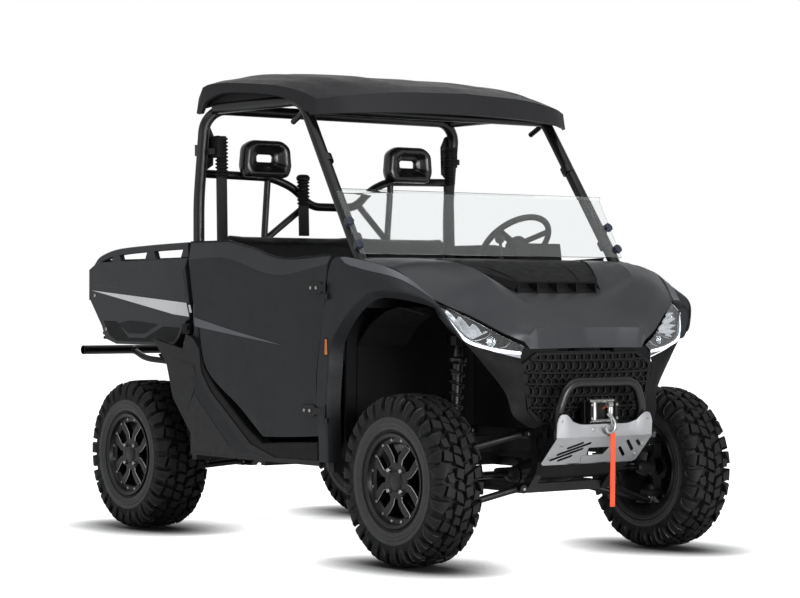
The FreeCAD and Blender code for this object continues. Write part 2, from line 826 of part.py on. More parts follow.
def rests():
    """Posts and tabs of the frame under the grille, the hood and the fenders, cut to what they hold."""
    half = rail_width / 2
    top = spot(hood_rest_share)
    low = place_z(front_top_rail_shares[0][1]) - half
    post = box(V(top.x - hood_rest_width / 2, top.y - hood_rest_width / 2, low),
               V(top.x + hood_rest_width / 2, top.y + hood_rest_width / 2, top.z)).cut(hood())
    post.translate(V(0, 0, -seat_gap))
    horn_z = place_z(front_horn_shares[0][1])
    bar = spot(cowl_bar_share)
    low = bar.z - roof_rest_width / 2
    tab = box(V(bar.x - half, bar.y - half, low), V(bar.x, fender_tab_y, bar.z)).cut(fender())
    tab.translate(V(0, -seat_gap, 0))
    foot = box(V(grille_x, rail_y - half, horn_z - half),
               V(grille_x + grille_thickness, rail_y + half, spots(grille_outline_shares)[-1].z - seat_gap))
    return [post, mirrored(post), tab, mirrored(tab), foot, mirrored(foot)]

# Cage
pillar_front_shares = [(0.5861, 0.8955, 0.5096), (0.5861, 0.8955, 0.518), (0.2532, 0.8477, 0.8967),
                       (0.2101, 0.8439, 0.9149),
                (-0.1519, 0.8575, 0.9169), (-0.1876, 0.8575, 0.9169)]
pillar_bend = 8
hoop_shares = [(-0.2392, 0.9071, 0.1922), (-0.2405, 0.9071, 0.7208), (-0.2114, 0.9071, 0.8871),
               (-0.2038, 0.8258, 0.9169), (-0.2038, 0, 0.9169)]
header_share = (0.2557, 0.8516, 0.8948)
headrest_bar_shares = [(-0.2405, 0.9032, 0.7799), (-0.2291, 0.4258, 0.7761), (-0.2184, 0.28, 0.7549),
                       (-0.2152, 0.16, 0.7141),
                (-0.2152, 0, 0.7141)]
hoop_cross_share = (-0.2405, 0.9032, 0.4853)
bar_brace_shares = [(-0.2177, 0.1935, 0.717), (-0.2456, 0.4477, 0.6391)]
hoop_brace_shares = [(-0.2291, 0.4477, 0.7761), (-0.2481, 0.4477, 0.6439), (-0.2405, 0.4477, 0.4853)]
headrest_bracket_low_share = (-0.2304, 0.48, 0.7717)
headrest_bracket_high_share = (-0.2116, 0.5548, 0.7929)
boot_bracket_low_share = (-0.2177, 0.865, 0.8188)
boot_bracket_high_share = (-0.1797, 0.9032, 0.8313)


def cage_front():
    """Front pillars with their side rails back to the hoop, joined by the header tube."""
    side = tube(spots(pillar_front_shares), pillar_bend, cage_tube)
    place = spot(header_share)
    cross = rod(V(place.x, -place.y, place.z), place, bar_tube)
    pads = []
    rail_z = place_z(pillar_front_shares[-1][2])
    for top in spots(roof_rests_shares):
        pad = box(V(top.x - roof_rest_width / 2, top.y - roof_rest_width / 2, rail_z),
                  V(top.x + roof_rest_width / 2, top.y + roof_rest_width / 2, top.z)).cut(roof())
        pad.translate(V(0, 0, -seat_gap))
        pads.append(pad)
    return fused([side, mirrored(side), cross] + pads + [mirrored(pad) for pad in pads])


def cage_rear():
    """Rear hoop, its headrest bar with a dropped middle, and the braces behind the seats."""
    half = spots(hoop_shares)
    whole = half + [V(p.x, -p.y, p.z) for p in half[-2::-1]]
    whole.remove(half[-1])
    pieces = [tube(whole, cage_bend / 2, cage_tube)]
    bar = spots(headrest_bar_shares)
    whole = bar + [V(p.x, -p.y, p.z) for p in bar[-2::-1]]
    whole.remove(bar[-1])
    pieces.append(tube(whole, cage_bend / 2, bar_tube))
    place = spot(hoop_cross_share)
    pieces.append(rod(V(place.x, -place.y, place.z), place, bar_tube))
    sides = [tube(spots(bar_brace_shares), bar_tube, brace_tube, arm_sides),
             tube(spots(hoop_brace_shares), bar_tube, brace_tube, arm_sides),
             box(spot(headrest_bracket_low_share), spot(headrest_bracket_high_share)),
             box(spot(boot_bracket_low_share), spot(boot_bracket_high_share))]
    return fused(pieces + sides + [mirrored(side) for side in sides])


# Roof: rows from the back to the front, each from the middle to the side
roof_rows_shares = [
    [(-0.2848, 0, 0.9803), (-0.2848, 0.4258, 0.9832), (-0.2734, 0.7613, 0.964),
     (-0.2614, 0.8826, 0.9419), (-0.2544, 0.9058, 0.9092)],
    [(-0.2405, 0, 0.9966), (-0.2405, 0.4258, 0.9957), (-0.238, 0.7613, 0.9803),
     (-0.2316, 0.8929, 0.964), (-0.2316, 0.9058, 0.9082)],
    [(-0.1962, 0, 0.999), (-0.1962, 0.4258, 0.9966), (-0.1962, 0.7613, 0.9813),
     (-0.1962, 0.8929, 0.9688), (-0.2013, 0.9058, 0.9332)],
    [(-0.1013, 0, 1), (-0.1013, 0.4258, 0.9957), (-0.1013, 0.7613, 0.9784), (-0.1013, 0.8903, 0.9668),
     (-0.1013, 0.9058, 0.9457)],
    [(0.1266, 0, 0.9822), (0.1266, 0.4258, 0.9774), (0.1266, 0.7561, 0.963), (0.1266, 0.8903, 0.9495),
     (0.1266, 0.9058, 0.9294)],
    [(0.2342, 0, 0.9678), (0.2342, 0.4258, 0.963), (0.2342, 0.7458, 0.9486), (0.2342, 0.8903, 0.9342),
     (0.2342, 0.9058, 0.9092)],
    [(0.3291, 0, 0.9543), (0.3165, 0.4258, 0.9505), (0.2975, 0.7406, 0.9332), (0.2823, 0.8877, 0.9198),
     (0.2861, 0.9058, 0.888)],
    [(0.4367, 0, 0.938), (0.4152, 0.4258, 0.9332), (0.3671, 0.7303, 0.9188), (0.3215, 0.8723, 0.9034),
     (0.3076, 0.9058, 0.8861)]]
roof_thickness = 22
roof_edge = 12


def roof():
    """Moulded roof with a crowned middle and sides that come down beside the rails."""
    rows = [spots(row) for row in roof_rows_shares]
    inner = []
    for row in rows:
        inner.append([row[0] - V(0, 0, roof_thickness)]
                     + [p - V(0, roof_edge, roof_thickness) for p in row[1:-1]]
                     + [row[-1] - V(0, roof_edge, 0)])
    return skin(whole_rows(rows), whole_rows(inner))


# Hood: rows from the screen to the nose, each from the middle to the side
hood_rows_shares = [
    [(0.5696, 0, 0.5882), (0.5696, 0.5161, 0.5882), (0.569, 0.6065, 0.5896), (0.5633, 0.9265, 0.5867)],
    [(0.6272, 0, 0.5805), (0.6272, 0.5032, 0.5815), (0.6367, 0.6065, 0.5863), (0.6329, 0.911, 0.5747)],
    [(0.7272, 0, 0.5488), (0.7272, 0.3871, 0.5497), (0.7272, 0.5716, 0.58), (0.7051, 0.8903, 0.5603)],
    [(0.7994, 0, 0.519), (0.7994, 0.2865, 0.5199), (0.8101, 0.5032, 0.5536), (0.7987, 0.8206, 0.5094)],
    [(0.8861, 0, 0.519), (0.881, 0.2194, 0.518), (0.881, 0.4129, 0.5103), (0.8519, 0.6555, 0.4757)],
    [(0.8962, 0, 0.4825), (0.9025, 0.2194, 0.4786), (0.9114, 0.3742, 0.4709), (0.8886, 0.5161, 0.445)],
    [(0.9013, 0, 0.4541), (0.9127, 0.2194, 0.4541), (0.9247, 0.3613, 0.4536), (0.9089, 0.4129, 0.4277)],
    [(0.9114, 0, 0.4152), (0.9152, 0.2194, 0.4147), (0.919, 0.3381, 0.4142), (0.9139, 0.3819, 0.4142)]]
hood_back = 10
hood_edge = 8.4


def hood():
    rows = [spots(row) for row in hood_rows_shares]
    return skin(whole_rows(rows), whole_rows(inward(rows, hood_back, hood_edge, body_skin)))


# Scoop panel lying in the hood's middle, with four outlets at its lower end
scoop_inset_share = 0.97
scoop_gap = 1
scoop_heights = [8, 24, 40]
scoop_front_trim = 12
outlet_height = 22
outlet_depth = 34
outlet_vane = 12
outlet_count = 4


def hood_scoop():
    """A raised panel in the hood's hollow with a row of outlets between upright vanes."""
    low, high = [], []
    for row, height in zip(hood_rows_shares[1:4], scoop_heights):
        middle, edge = spots(row[:2])
        edge = V(edge.x, edge.y * scoop_inset_share, edge.z)
        low.append([middle + V(0, 0, scoop_gap), edge + V(0, 0, scoop_gap)])
        high.append([point + V(0, 0, height) for point in low[-1]])
    for row in (low[-1], high[-1]):
        row[:] = [point - V(scoop_front_trim, 0, 0) for point in row]
    low[-1] = [point + V(0, 0, scoop_front_trim / 2) for point in low[-1]]
    panel = skin(whole_rows(high), whole_rows(low))
    front = low[-1][1]
    pitch = 2 * (front.y - outlet_vane) / outlet_count
    cuts = []
    for index in range(outlet_count):
        left = -front.y + outlet_vane + index * pitch
        cuts.append(box(V(front.x - outlet_depth, left + outlet_vane / 2, front.z + scoop_gap * 6),
                        V(front.x + overrun, left + pitch - outlet_vane / 2,
                          front.z + scoop_gap * 6 + outlet_height)))
    return panel.cut(Part.makeCompound(cuts))


# Cowl, dashboard, floor and firewall, seen from the side
cowl_line_shares = [(0.4696, 0.5891), (0.5494, 0.5877)]
cowl_half_share = (0.5158, 0.849, 0.5901)
firewall_line_shares = [(-0.2089, 0.198), (0.4253, 0.198), (0.4595, 0.2307), (0.4658, 0.4853),
                        (0.4646, 0.5831)]
dash_outline_shares = [(0.4595, 0.5776), (0.4367, 0.5795), (0.4114, 0.567), (0.4051, 0.5334),
                       (0.4278, 0.4998), (0.4652, 0.494)]
pod_outline_shares = [(0.4253, 0.5718), (0.4114, 0.6064), (0.419, 0.6209), (0.4544, 0.6257),
                      (0.4633, 0.5911), (0.4582, 0.5718)]
pod_half_width = 130
dash_half_share = (0.4367, 0.8723, 0.5286)


def cowl():
    half = place_y(cowl_half_share[1])
    return ribbon(side_spots(cowl_line_shares, 0), body_skin, -half, half)


def floor_tub():
    """Cabin floor and firewall as one bent sheet."""
    line = side_spots(firewall_line_shares, 0)
    return ribbon(line, floor_thickness, -inner_width, inner_width)


def dashboard():
    half = place_y(dash_half_share[1])
    body = slab(side_spots(dash_outline_shares, -half), V(0, 2 * half, 0))
    wheel = spot(steering_middle_share)
    pod = slab(side_spots(pod_outline_shares, wheel.y - pod_half_width), V(0, 2 * pod_half_width, 0))
    start, end = column_ends()
    bore = rod(start, end + (end - start).normalize() * seat_gap, 2 * (column_radius + seat_gap))
    return fused([body, pod]).cut(bore)


# Steering wheel and column
steering_middle_share = (0.3544, 0.4516, 0.6247)
column_foot_share = (0.443, 0.4516, 0.5584)
wheel_ring_radius = 165
wheel_ring_thickness = 28
wheel_boss_radius = 52
wheel_boss_length = 40
boss_front_radius = 42
boss_front_depth = 12
boss_back_radius = 36
spoke_inset = 8
column_radius = 22


def steering_axis():
    middle, foot = spot(steering_middle_share), spot(column_foot_share)
    return middle, (foot - middle).normalize(), (foot - middle).Length


def steering_wheel():
    middle, axis, length = steering_axis()
    ring = ring_solid(middle, axis, wheel_ring_radius, wheel_ring_thickness, 16, 6)
    boss_start = middle + axis * (wheel_boss_length / 2)
    pieces = [ring, turned(boss_start - axis * (wheel_boss_length / 2), axis,
                           [(0, boss_front_radius), (boss_front_depth, wheel_boss_radius),
                            (wheel_boss_length, boss_back_radius)], 12)]
    side = V(0, 1, 0)
    down = axis.cross(side).normalize()
    if down.z > 0:
        down = down * -1
    for direction in (side, side * -1, down):
        wide = axis.cross(direction).normalize() * (wheel_spoke_width / 2)
        start = middle + axis * spoke_inset
        end = middle + direction * wheel_ring_radius
        corners = [start + wide, end + wide, end - wide, start - wide]
        pieces.append(slab(corners, axis * wheel_spoke_thickness))
    return fused(pieces)


wheel_spoke_width = 34
wheel_spoke_thickness = 9


def column_ends():
    middle, axis, length = steering_axis()
    return middle + axis * (wheel_boss_length + seat_gap), middle + axis * length


def steering_column():
    start, end = column_ends()
    return rod(start, end, 2 * column_radius)


# Front fender of the left side: rows from the sill up, over the arch and on to the lamp
fender_rows_shares = [
    [(0.4114, 0.9755, 0.1879), (0.4316, 0.9781, 0.1879), (0.4513, 0.9806, 0.1879),
     (0.4532, 0.9032, 0.1879)],
    [(0.4089, 0.9755, 0.2259), (0.4278, 0.9781, 0.2259), (0.4506, 0.9806, 0.2259),
     (0.4532, 0.9032, 0.2259)],
    [(0.4013, 0.9755, 0.2979), (0.4228, 0.9781, 0.2989), (0.4449, 0.9806, 0.3008),
     (0.4506, 0.9032, 0.3008)],
    [(0.4013, 0.9755, 0.3623), (0.4278, 0.9781, 0.3633), (0.4532, 0.9806, 0.3652),
     (0.4595, 0.9032, 0.3671)],
    [(0.4177, 0.9755, 0.4325), (0.443, 0.9781, 0.4325), (0.4696, 0.9806, 0.4291),
     (0.4759, 0.9187, 0.4267)],
    [(0.438, 0.9729, 0.5046), (0.4873, 0.9781, 0.5007), (0.5456, 0.9781, 0.4868),
     (0.5494, 0.9342, 0.4786)],
    [(0.4582, 0.96, 0.5848), (0.538, 0.9677, 0.5526), (0.6171, 0.9755, 0.519),
     (0.6215, 0.9394, 0.5074)],
    [(0.5633, 0.928, 0.5834), (0.6076, 0.9548, 0.5526), (0.6557, 0.9703, 0.5257),
     (0.6582, 0.9084, 0.5132)],
    [(0.7051, 0.8919, 0.5569), (0.7278, 0.9213, 0.5401), (0.7532, 0.9471, 0.5228),
     (0.7506, 0.8568, 0.5046)],
    [(0.7987, 0.8222, 0.506), (0.8165, 0.8516, 0.5046), (0.8367, 0.8774, 0.4998),
     (0.8253, 0.8413, 0.4901)],
    [(0.8076, 0.8258, 0.4959), (0.8405, 0.849, 0.4805), (0.8684, 0.8129, 0.4565),
     (0.8582, 0.7974, 0.4536)],
    [(0.8418, 0.8465, 0.4757), (0.8557, 0.8155, 0.4565), (0.8759, 0.7639, 0.4334),
     (0.8696, 0.7587, 0.4306)]]
fender_skin = 9
arch_start_share = 0.4286
insert_span_shares = [(0.12, 0.62), (0.06, 0.62), (0.1, 0.66), (0.3, 0.55)]
insert_thickness = 4
insert_lift = 7


def fender():
    """Left front fender with its rolled arch edge."""
    rows = [spots(row) for row in fender_rows_shares]
    inner = []
    for row in rows:
        down = fender_skin if row[-1].z > place_z(arch_start_share) else 0
        away = row[-1] - V(front_axle_x, row[-1].y, axle_height)
        away = away.normalize() * fender_skin
        inner.append([row[0] - V(0, fender_skin, down), row[1] - V(0, fender_skin, down),
                      row[2] - V(0, fender_skin, 0) + away, row[3] + away])
    return skin(rows, inner)


# Headlamp of the left side: upper and lower edges
lamp_rows_shares = [
    [(0.8038, 0.8077, 0.5007), (0.8544, 0.6555, 0.468), (0.8911, 0.5161, 0.4373),
     (0.9114, 0.4155, 0.419)],
    [(0.8342, 0.8219, 0.4805), (0.862, 0.769, 0.4469), (0.8861, 0.6452, 0.4219),
     (0.9165, 0.4465, 0.4065)],
    [(0.8405, 0.8129, 0.4728), (0.8684, 0.7406, 0.4306), (0.8911, 0.6065, 0.4113),
     (0.9152, 0.4465, 0.3964)]]
lamp_depth_share = (0.038, 0.0232, 0.0029)
strip_depth = 5


def headlamp():
    rows = [spots(row) for row in lamp_rows_shares]
    depth = spot(lamp_depth_share)
    inner = [[V(p.x - depth.x, p.y - depth.y, p.z - depth.z) for p in row] for row in rows]
    return skin(rows, inner)


def lamp_strip():
    """White daytime strip along the lamp's lower edge."""
    rows = [spots(row) for row in lamp_rows_shares[1:]]
    step = V(1, 0, 0)
    return skin(moved(rows, step * (strip_depth + seat_gap)), moved(rows, step * seat_gap))


# Grille between the lamps and the dark fascia around it
grille_outline_shares = [(0, 0.351, 0.4065), (0, 0.4465, 0.3844), (0, 0.4052, 0.2946),
                         (0, 0.3226, 0.2691)]
grille_x_share = 0.9114
grille_x = place_x(grille_x_share)
grille_thickness = 14
slot_rows_shares = [(0, 0.3381, 0.4027), (0, 0.4103, 0.3806), (0, 0.4103, 0.3614), (0, 0.4, 0.3421),
                    (0, 0.3871, 0.3229), (0, 0.369, 0.3037)]
slot_height = 26
slot_columns = [4, 5, 4, 5, 4, 3]
slot_bar = 16
slot_slope_share = 0.25
fascia_rows_shares = [
    [(0.9152, 0.4484, 0.395), (0.8911, 0.6065, 0.4097), (0.869, 0.7406, 0.4286)],
    [(0.9203, 0.4472, 0.3844), (0.9013, 0.5677, 0.3825), (0.881, 0.6529, 0.3921)],
    [(0.919, 0.425, 0.3364), (0.9089, 0.48, 0.3335), (0.8987, 0.5239, 0.3325)],
    [(0.9171, 0.4059, 0.2946), (0.9152, 0.4516, 0.2912), (0.9114, 0.4903, 0.2883)],
    [(0.9253, 0.3252, 0.2681), (0.9354, 0.3871, 0.2653), (0.9367, 0.4258, 0.2691)]]
fascia_back = 12


def grille():
    """Front grille plate with its rows of slots."""
    half = spots(grille_outline_shares)
    low, high = grille_x, grille_x + grille_thickness
    corners = [V(low, p.y, p.z) for p in half] + [V(low, -p.y, p.z) for p in half[::-1]]
    plate = slab(corners, V(high - low, 0, 0))
    cuts = []
    for shares, count in zip(slot_rows_shares, slot_columns):
        row = spot(shares)
        pitch = 2 * row.y / count
        for index in range(count):
            left = -row.y + index * pitch + slot_bar / 2
            right = left + pitch - slot_bar
            lean = slot_height * slot_slope_share
            corners = [V(low - overrun, left, row.z), V(low - overrun, right, row.z),
                       V(low - overrun, right - lean, row.z - slot_height),
                       V(low - overrun, left + lean, row.z - slot_height)]
            cuts.append(slab(corners, V(high - low + 2 * overrun, 0, 0)))
    return plate.cut(Part.makeCompound(cuts))


def fascia():
    rows = [spots(row) for row in fascia_rows_shares]
    return skin(rows, moved(rows, V(-fascia_back, 0, 0)))


radiator_low_share = (0.8737, 0.3226, 0.2691)
radiator_high_share = (0.8949, 0.3226, 0.4085)


def radiator():
    low, high = spot(radiator_low_share), spot(radiator_high_share)
    return box(V(low.x, -low.y, low.z), V(high.x, high.y, high.z))


# Bull bar, skid plate and recovery gear
bull_bar_line_shares = [(0.943, 0.2606, 0.2433), (0.943, 0.2606, 0.2547), (0.9658, 0.289, 0.2912),
                        (0.9728, 0.2323, 0.3498), (0.9728, 0, 0.3498)]
bull_tube = 32
skid_rows_shares = [
    [(0.9823, 0, 0.2691), (0.9823, 0.1548, 0.272), (0.9873, 0.2529, 0.2874), (0.9848, 0.3174, 0.2691)],
    [(0.9848, 0, 0.246), (0.9848, 0.1548, 0.246), (0.9848, 0.2581, 0.246), (0.981, 0.3252, 0.246)],
    [(0.919, 0, 0.1932), (0.919, 0.1548, 0.1932), (0.9177, 0.2581, 0.1951), (0.9114, 0.3252, 0.1989)],
    [(0.8367, 0, 0.1307), (0.8367, 0.1548, 0.1307), (0.8367, 0.2323, 0.1307), (0.8367, 0.2813, 0.1307)],
    [(0.7595, 0, 0.1288), (0.7595, 0.1548, 0.1288), (0.7595, 0.2323, 0.1288), (0.7595, 0.2813, 0.1288)]]
skid_thickness = 6
skid_slot_shares = [(0.9494, 0.0903, 0.2383), (0.9494, 0.1161, 0.2383), (0.9494, 0.1806, 0.2124),
                    (0.9494, 0.1548, 0.2124)]
skid_slot_step = 42
skid_slot_count = 3
skid_slot_reach = 100
fairlead_x_share = 0.9532
fairlead_x = place_x(fairlead_x_share)
fairlead_z_share = 0.2941
fairlead_z = place_z(fairlead_z_share)
fairlead_half = 74
fairlead_height = 96
fairlead_plate = 8
roller_radius = 13
roller_y = 44
roller_x_share = 0.9684
roller_x = place_x(roller_x_share)
hook_outline_shares = [(0.9911, -0.0052, 0.3075), (0.9911, 0.0258, 0.3075), (0.9911, 0.0335, 0.2787),
                       (0.9911, 0.0542, 0.2672), (0.9911, 0.0439, 0.2518),
                (0.9911, 0.0052, 0.248), (0.9911, -0.0155, 0.2595), (0.9911, 0.0026, 0.2633),
    (0.9911, 0.0181, 0.2624), (0.9911, 0.0232, 0.2681),
                (0.9911, 0.0026, 0.2787)]
hook_thickness = 14
hook_line_z_share = 0.2989
hook_line_z = place_z(hook_line_z_share)
strap_width = 26
strap_thickness = 3
strap_length = 296
strap_y = 16


def bull_bar():
    half = spots(bull_bar_line_shares)
    whole = half + [V(p.x, -p.y, p.z) for p in half[-2::-1]]
    whole.remove(half[-1])
    return tube(whole, bull_tube / 3, bull_tube)


def skid_plate():
    rows = [spots(row) for row in skid_rows_shares]
    inner = [moved([rows[0]], V(-skid_thickness, 0, 0))[0]]
    inner += moved(rows[1:3], V(-skid_thickness, 0, skid_thickness))
    inner += moved(rows[3:], V(0, 0, skid_thickness))
    plate = skin(whole_rows(rows), whole_rows(inner))
    cuts = []
    for index in range(skid_slot_count):
        step = V(-skid_slot_reach, index * skid_slot_step, 0)
        cut = slab([point + step for point in spots(skid_slot_shares)], V(2 * skid_slot_reach, 0, 0))
        cuts += [cut, mirrored(cut)]
    return plate.cut(Part.makeCompound(cuts))


def winch_fairlead():
    """Fairlead plate with two upright rollers between its shelves."""
    low_z = fairlead_z - fairlead_height / 2
    plate = box(V(fairlead_x, -fairlead_half, low_z),
                V(fairlead_x + fairlead_plate, fairlead_half, low_z + fairlead_height))
    pieces = [plate]
    hook_x = spots(hook_outline_shares)[0].x
    pieces.append(rod(V(fairlead_x, 0, hook_line_z), V(hook_x - seat_gap, 0, hook_line_z),
                      roller_radius))
    for side in (-1, 1):
        shelf_z = fairlead_z + side * (fairlead_height / 2) - (fairlead_plate if side > 0 else 0)
        pieces.append(box(V(fairlead_x, -roller_y - roller_radius, shelf_z),
                          V(roller_x + roller_radius, roller_y + roller_radius, shelf_z + fairlead_plate)))
        pieces.append(rod(V(roller_x, side * roller_y, low_z + fairlead_plate / 2),
                          V(roller_x, side * roller_y, low_z + fairlead_height - fairlead_plate / 2),
                          2 * roller_radius))
    return fused(pieces)


def tow_hook():
    return slab(spots(hook_outline_shares), V(hook_thickness, 0, 0))


def hook_strap():
    hook_low = min(point.z for point in spots(hook_outline_shares)) - seat_gap
    x = spots(hook_outline_shares)[0].x + hook_thickness / 2
    return box(V(x - strap_thickness / 2, strap_y - strap_width / 2, hook_low - strap_length),
               V(x + strap_thickness / 2, strap_y + strap_width / 2, hook_low))


# Door of the left side, rows from the bottom edge up, each from the front edge to the back
door_rows_shares = [
    [(0.4025, 0.9703, 0.2383), (0.2785, 0.9703, 0.2326), (0.1418, 0.9703, 0.2287),
     (0.1266, 0.9703, 0.2335)],
    [(0.3949, 0.9729, 0.2979), (0.2658, 0.9755, 0.2941), (0.0886, 0.9755, 0.2902),
     (0.019, 0.9703, 0.2864)],
    [(0.3937, 0.9755, 0.3623), (0.2532, 0.9781, 0.3604), (0.038, 0.9781, 0.3585),
     (-0.1468, 0.9729, 0.3614)],
    [(0.4127, 0.9755, 0.4349), (0.2272, 0.9768, 0.4253), (0, 0.9768, 0.4488),
     (-0.1911, 0.9716, 0.4613)],
    [(0.4278, 0.9729, 0.4853), (0.15, 0.9742, 0.4849), (0, 0.9755, 0.4921), (-0.2203, 0.9716, 0.5026)],
    [(0.443, 0.9768, 0.5786), (0.2038, 0.9768, 0.5584), (-0.0418, 0.9768, 0.5949),
     (-0.2443, 0.9716, 0.5949)],
    [(0.4468, 0.9703, 0.5959), (0.2152, 0.9703, 0.592), (-0.043, 0.9703, 0.6305),
     (-0.2443, 0.9677, 0.6314)]]
door_skin = 20
hinge_axis_share = (0.4418, 0.9916, 0.2883)
hinge_places_shares = [(0.3639, 0.991, 0.5315), (0.3342, 0.991, 0.2883)]
hinge_pad = 74
hinge_height = 50
hinge_plate = 5
hinge_barrel = 5.5


def door():
    """Left door panel with its folded upper band, inner latch box and hinge leaves."""
    rows = [spots(row) for row in door_rows_shares]
    inner = [[V(p.x, door_outer_y - door_skin, p.z) for p in row] for row in rows]
    pieces = [skin(rows, inner)]
    axis = spot(hinge_axis_share)
    plate_y = axis.y - hinge_plate / 2
    for place in spots(hinge_places_shares):
        low, high = place.z - hinge_height / 2, place.z + hinge_height / 2
        pieces.append(box(V(place.x, door_outer_y - door_skin / 2, low),
                          V(place.x + hinge_pad, plate_y + hinge_plate, high)))
        pieces.append(box(V(place.x, plate_y, low), V(axis.x, plate_y + hinge_plate, high)))
        pieces.append(rod(V(axis.x, axis.y, low), V(axis.x, axis.y, high), 2 * hinge_barrel))
    return fused(pieces)


def door_hinges():
    """Body halves of the left hinges: a pin block above and below each door barrel."""
    axis = spot(hinge_axis_share)
    shapes = []
    for place in spots(hinge_places_shares):
        top = place.z - hinge_height / 2 - seat_gap
        shapes.append(box(V(axis.x - hinge_barrel, sill_outer_y + seat_gap, top - hinge_foot),
                          V(axis.x + hinge_reach, axis.y + hinge_barrel, top)))
    return shapes


hinge_foot = 24
hinge_reach = 24

# Sill, quarter panel and the dark trim under the door, all seen from the side
quarter_outline_shares = [(-0.431, 0.4219), (-0.2684, 0.3998), (-0.2506, 0.4325), (-0.2152, 0.4229),
                          (-0.1848, 0.4017), (-0.1747, 0.3556),
                   (-0.1234, 0.3123), (0.0804, 0.2095), (0.2013, 0.1855), (0.407, 0.1874),
    (0.407, 0.1821), (0.0494, 0.1812), (-0.2234, 0.1812),
                   (-0.2234, 0.2249), (-0.3203, 0.2989), (-0.3551, 0.37), (-0.419, 0.4171)]
sill_trim_outline_shares = [(-0.1845, 0.4018), (-0.1744, 0.3557), (-0.1232, 0.3126), (0.0806, 0.2098),
                            (0.2013, 0.1858), (0.4025, 0.1877),
                     (0.3987, 0.2259), (0.2785, 0.222), (0.1342, 0.2153), (0.0544, 0.246),
    (-0.1, 0.3229), (-0.1595, 0.3623)]
trim_inner_y_share = 0.9032
trim_inner_y = place_y(trim_inner_y_share)
trim_outer_y_share = 0.9768
trim_outer_y = place_y(trim_outer_y_share)


def quarter_panel():
    corners = side_spots(quarter_outline_shares, sill_outer_y - sill_thickness)
    return slab(corners, V(0, sill_thickness, 0))


def sill_trim():
    corners = side_spots(sill_trim_outline_shares, trim_inner_y)
    return slab(corners, V(0, trim_outer_y - trim_inner_y, 0))


marker_low_share = (0.4342, 0.9805, 0.396)
marker_high_share = (0.4557, 0.9884, 0.4344)


def side_marker():
    return box(spot(marker_low_share), spot(marker_high_share))


# Wheel-arch liners, seen from the side
front_liner_line_shares = [(0.4676, 0.2316), (0.4723, 0.4181), (0.5228, 0.4565), (0.5949, 0.4844),
                           (0.6582, 0.494), (0.7595, 0.482)]
rear_liner_line_shares = [(-0.4354, 0.3902), (-0.3582, 0.3556), (-0.3076, 0.2883), (-0.2582, 0.2037)]
liner_thickness = 6
liner_inner_y_share = 0.5058
liner_inner_y = place_y(liner_inner_y_share)
front_liner_outer_y_share = 0.8258
front_liner_outer_y = place_y(front_liner_outer_y_share)
rear_liner_inner_y_share = 0.3097
rear_liner_inner_y = place_y(rear_liner_inner_y_share)


def front_liner():
    return ribbon(side_spots(front_liner_line_shares, 0), liner_thickness, liner_inner_y,
                  front_liner_outer_y)


def rear_liner():
    return ribbon(side_spots(rear_liner_line_shares, 0), liner_thickness, rear_liner_inner_y,
                  sill_outer_y - sill_thickness - seat_gap)


# Seats
seat_box_outline_shares = [(-0.2013, 0.1981), (0.1051, 0.1981), (0.1203, 0.3364), (-0.2013, 0.3364)]
seat_box_half_share = 0.8129
seat_box_half = place_y(seat_box_half_share)
cushion_outline_shares = [(-0.1582, 0.3366), (0.1241, 0.3366), (0.1304, 0.394), (0.1114, 0.4113),
                          (-0.1658, 0.3969)]
backrest_outline_shares = [(-0.162, 0.3973), (-0.1038, 0.4005), (-0.1582, 0.6391), (-0.1797, 0.6545),
                           (-0.2127, 0.6487), (-0.219, 0.6151)]
seat_split_y_share = 0.1239
seat_split_y = place_y(seat_split_y_share)
seat_outer_y_share = 0.7935
seat_outer_y = place_y(seat_outer_y_share)
seat_gap_between = 8
headrest_middle_share = (-0.1899, 0.5174, 0.8131)
headrest_half_share = (0.0215, 0.1677, 0.0413)
headrest_slot_half_share = (0.0215, 0.0852, 0.0125)
headrest_corner_share = 0.35
engine_low_share = (-0.5063, 0.2065, 0.1684)
engine_high_share = (-0.3038, 0.2065, 0.3777)


def seat_box():
    corners = side_spots(seat_box_outline_shares, -seat_box_half)
    return slab(corners, V(0, 2 * seat_box_half, 0))


def seats():
    """Single driver's seat on the left and a double seat on the right: cushions and backs."""
    shapes = []
    for outline in (cushion_outline_shares, backrest_outline_shares):
        for low, high in ((-seat_outer_y, seat_split_y - seat_gap_between),
                          (seat_split_y, seat_outer_y)):
            shapes.append(slab(side_spots(outline, low), V(0, high - low, 0)))
    return shapes


def rounded_loop(middle, half, corner_share):
    """Corners of an eight-sided block seen from the front."""
    cut = corner_share * half.z
    return [V(middle.x - half.x, middle.y + side_y * (half.y - cut_y),
              middle.z + side_z * (half.z - cut_z))
            for side_y, side_z, cut_y, cut_z in
            ((1, 1, cut, 0), (1, 1, 0, cut), (1, -1, 0, cut), (1, -1, cut, 0),
             (-1, -1, cut, 0), (-1, -1, 0, cut), (-1, 1, 0, cut), (-1, 1, cut, 0))]


def headrest():
    middle, half = spot(headrest_middle_share), spot(headrest_half_share)
    slot = spot(headrest_slot_half_share)
    block = slab(rounded_loop(middle, half, headrest_corner_share), V(2 * half.x, 0, 0))
    hole = slab([p - V(overrun, 0, 0) for p in rounded_loop(middle, slot, headrest_corner_share)],
                V(2 * half.x + 2 * overrun, 0, 0))
    return block.cut(hole)


belt_low_share = (-0.2013, 0.8239, 0.1982)
belt_high_share = (-0.1709, 0.8277, 0.771)
boot_radius = 30
boot_neck = 21
boot_top_share = (-0.1861, 0.8258, 0.8602)
boot_foot_share = (-0.1797, 0.8258, 0.7717)
boot_rings = 5


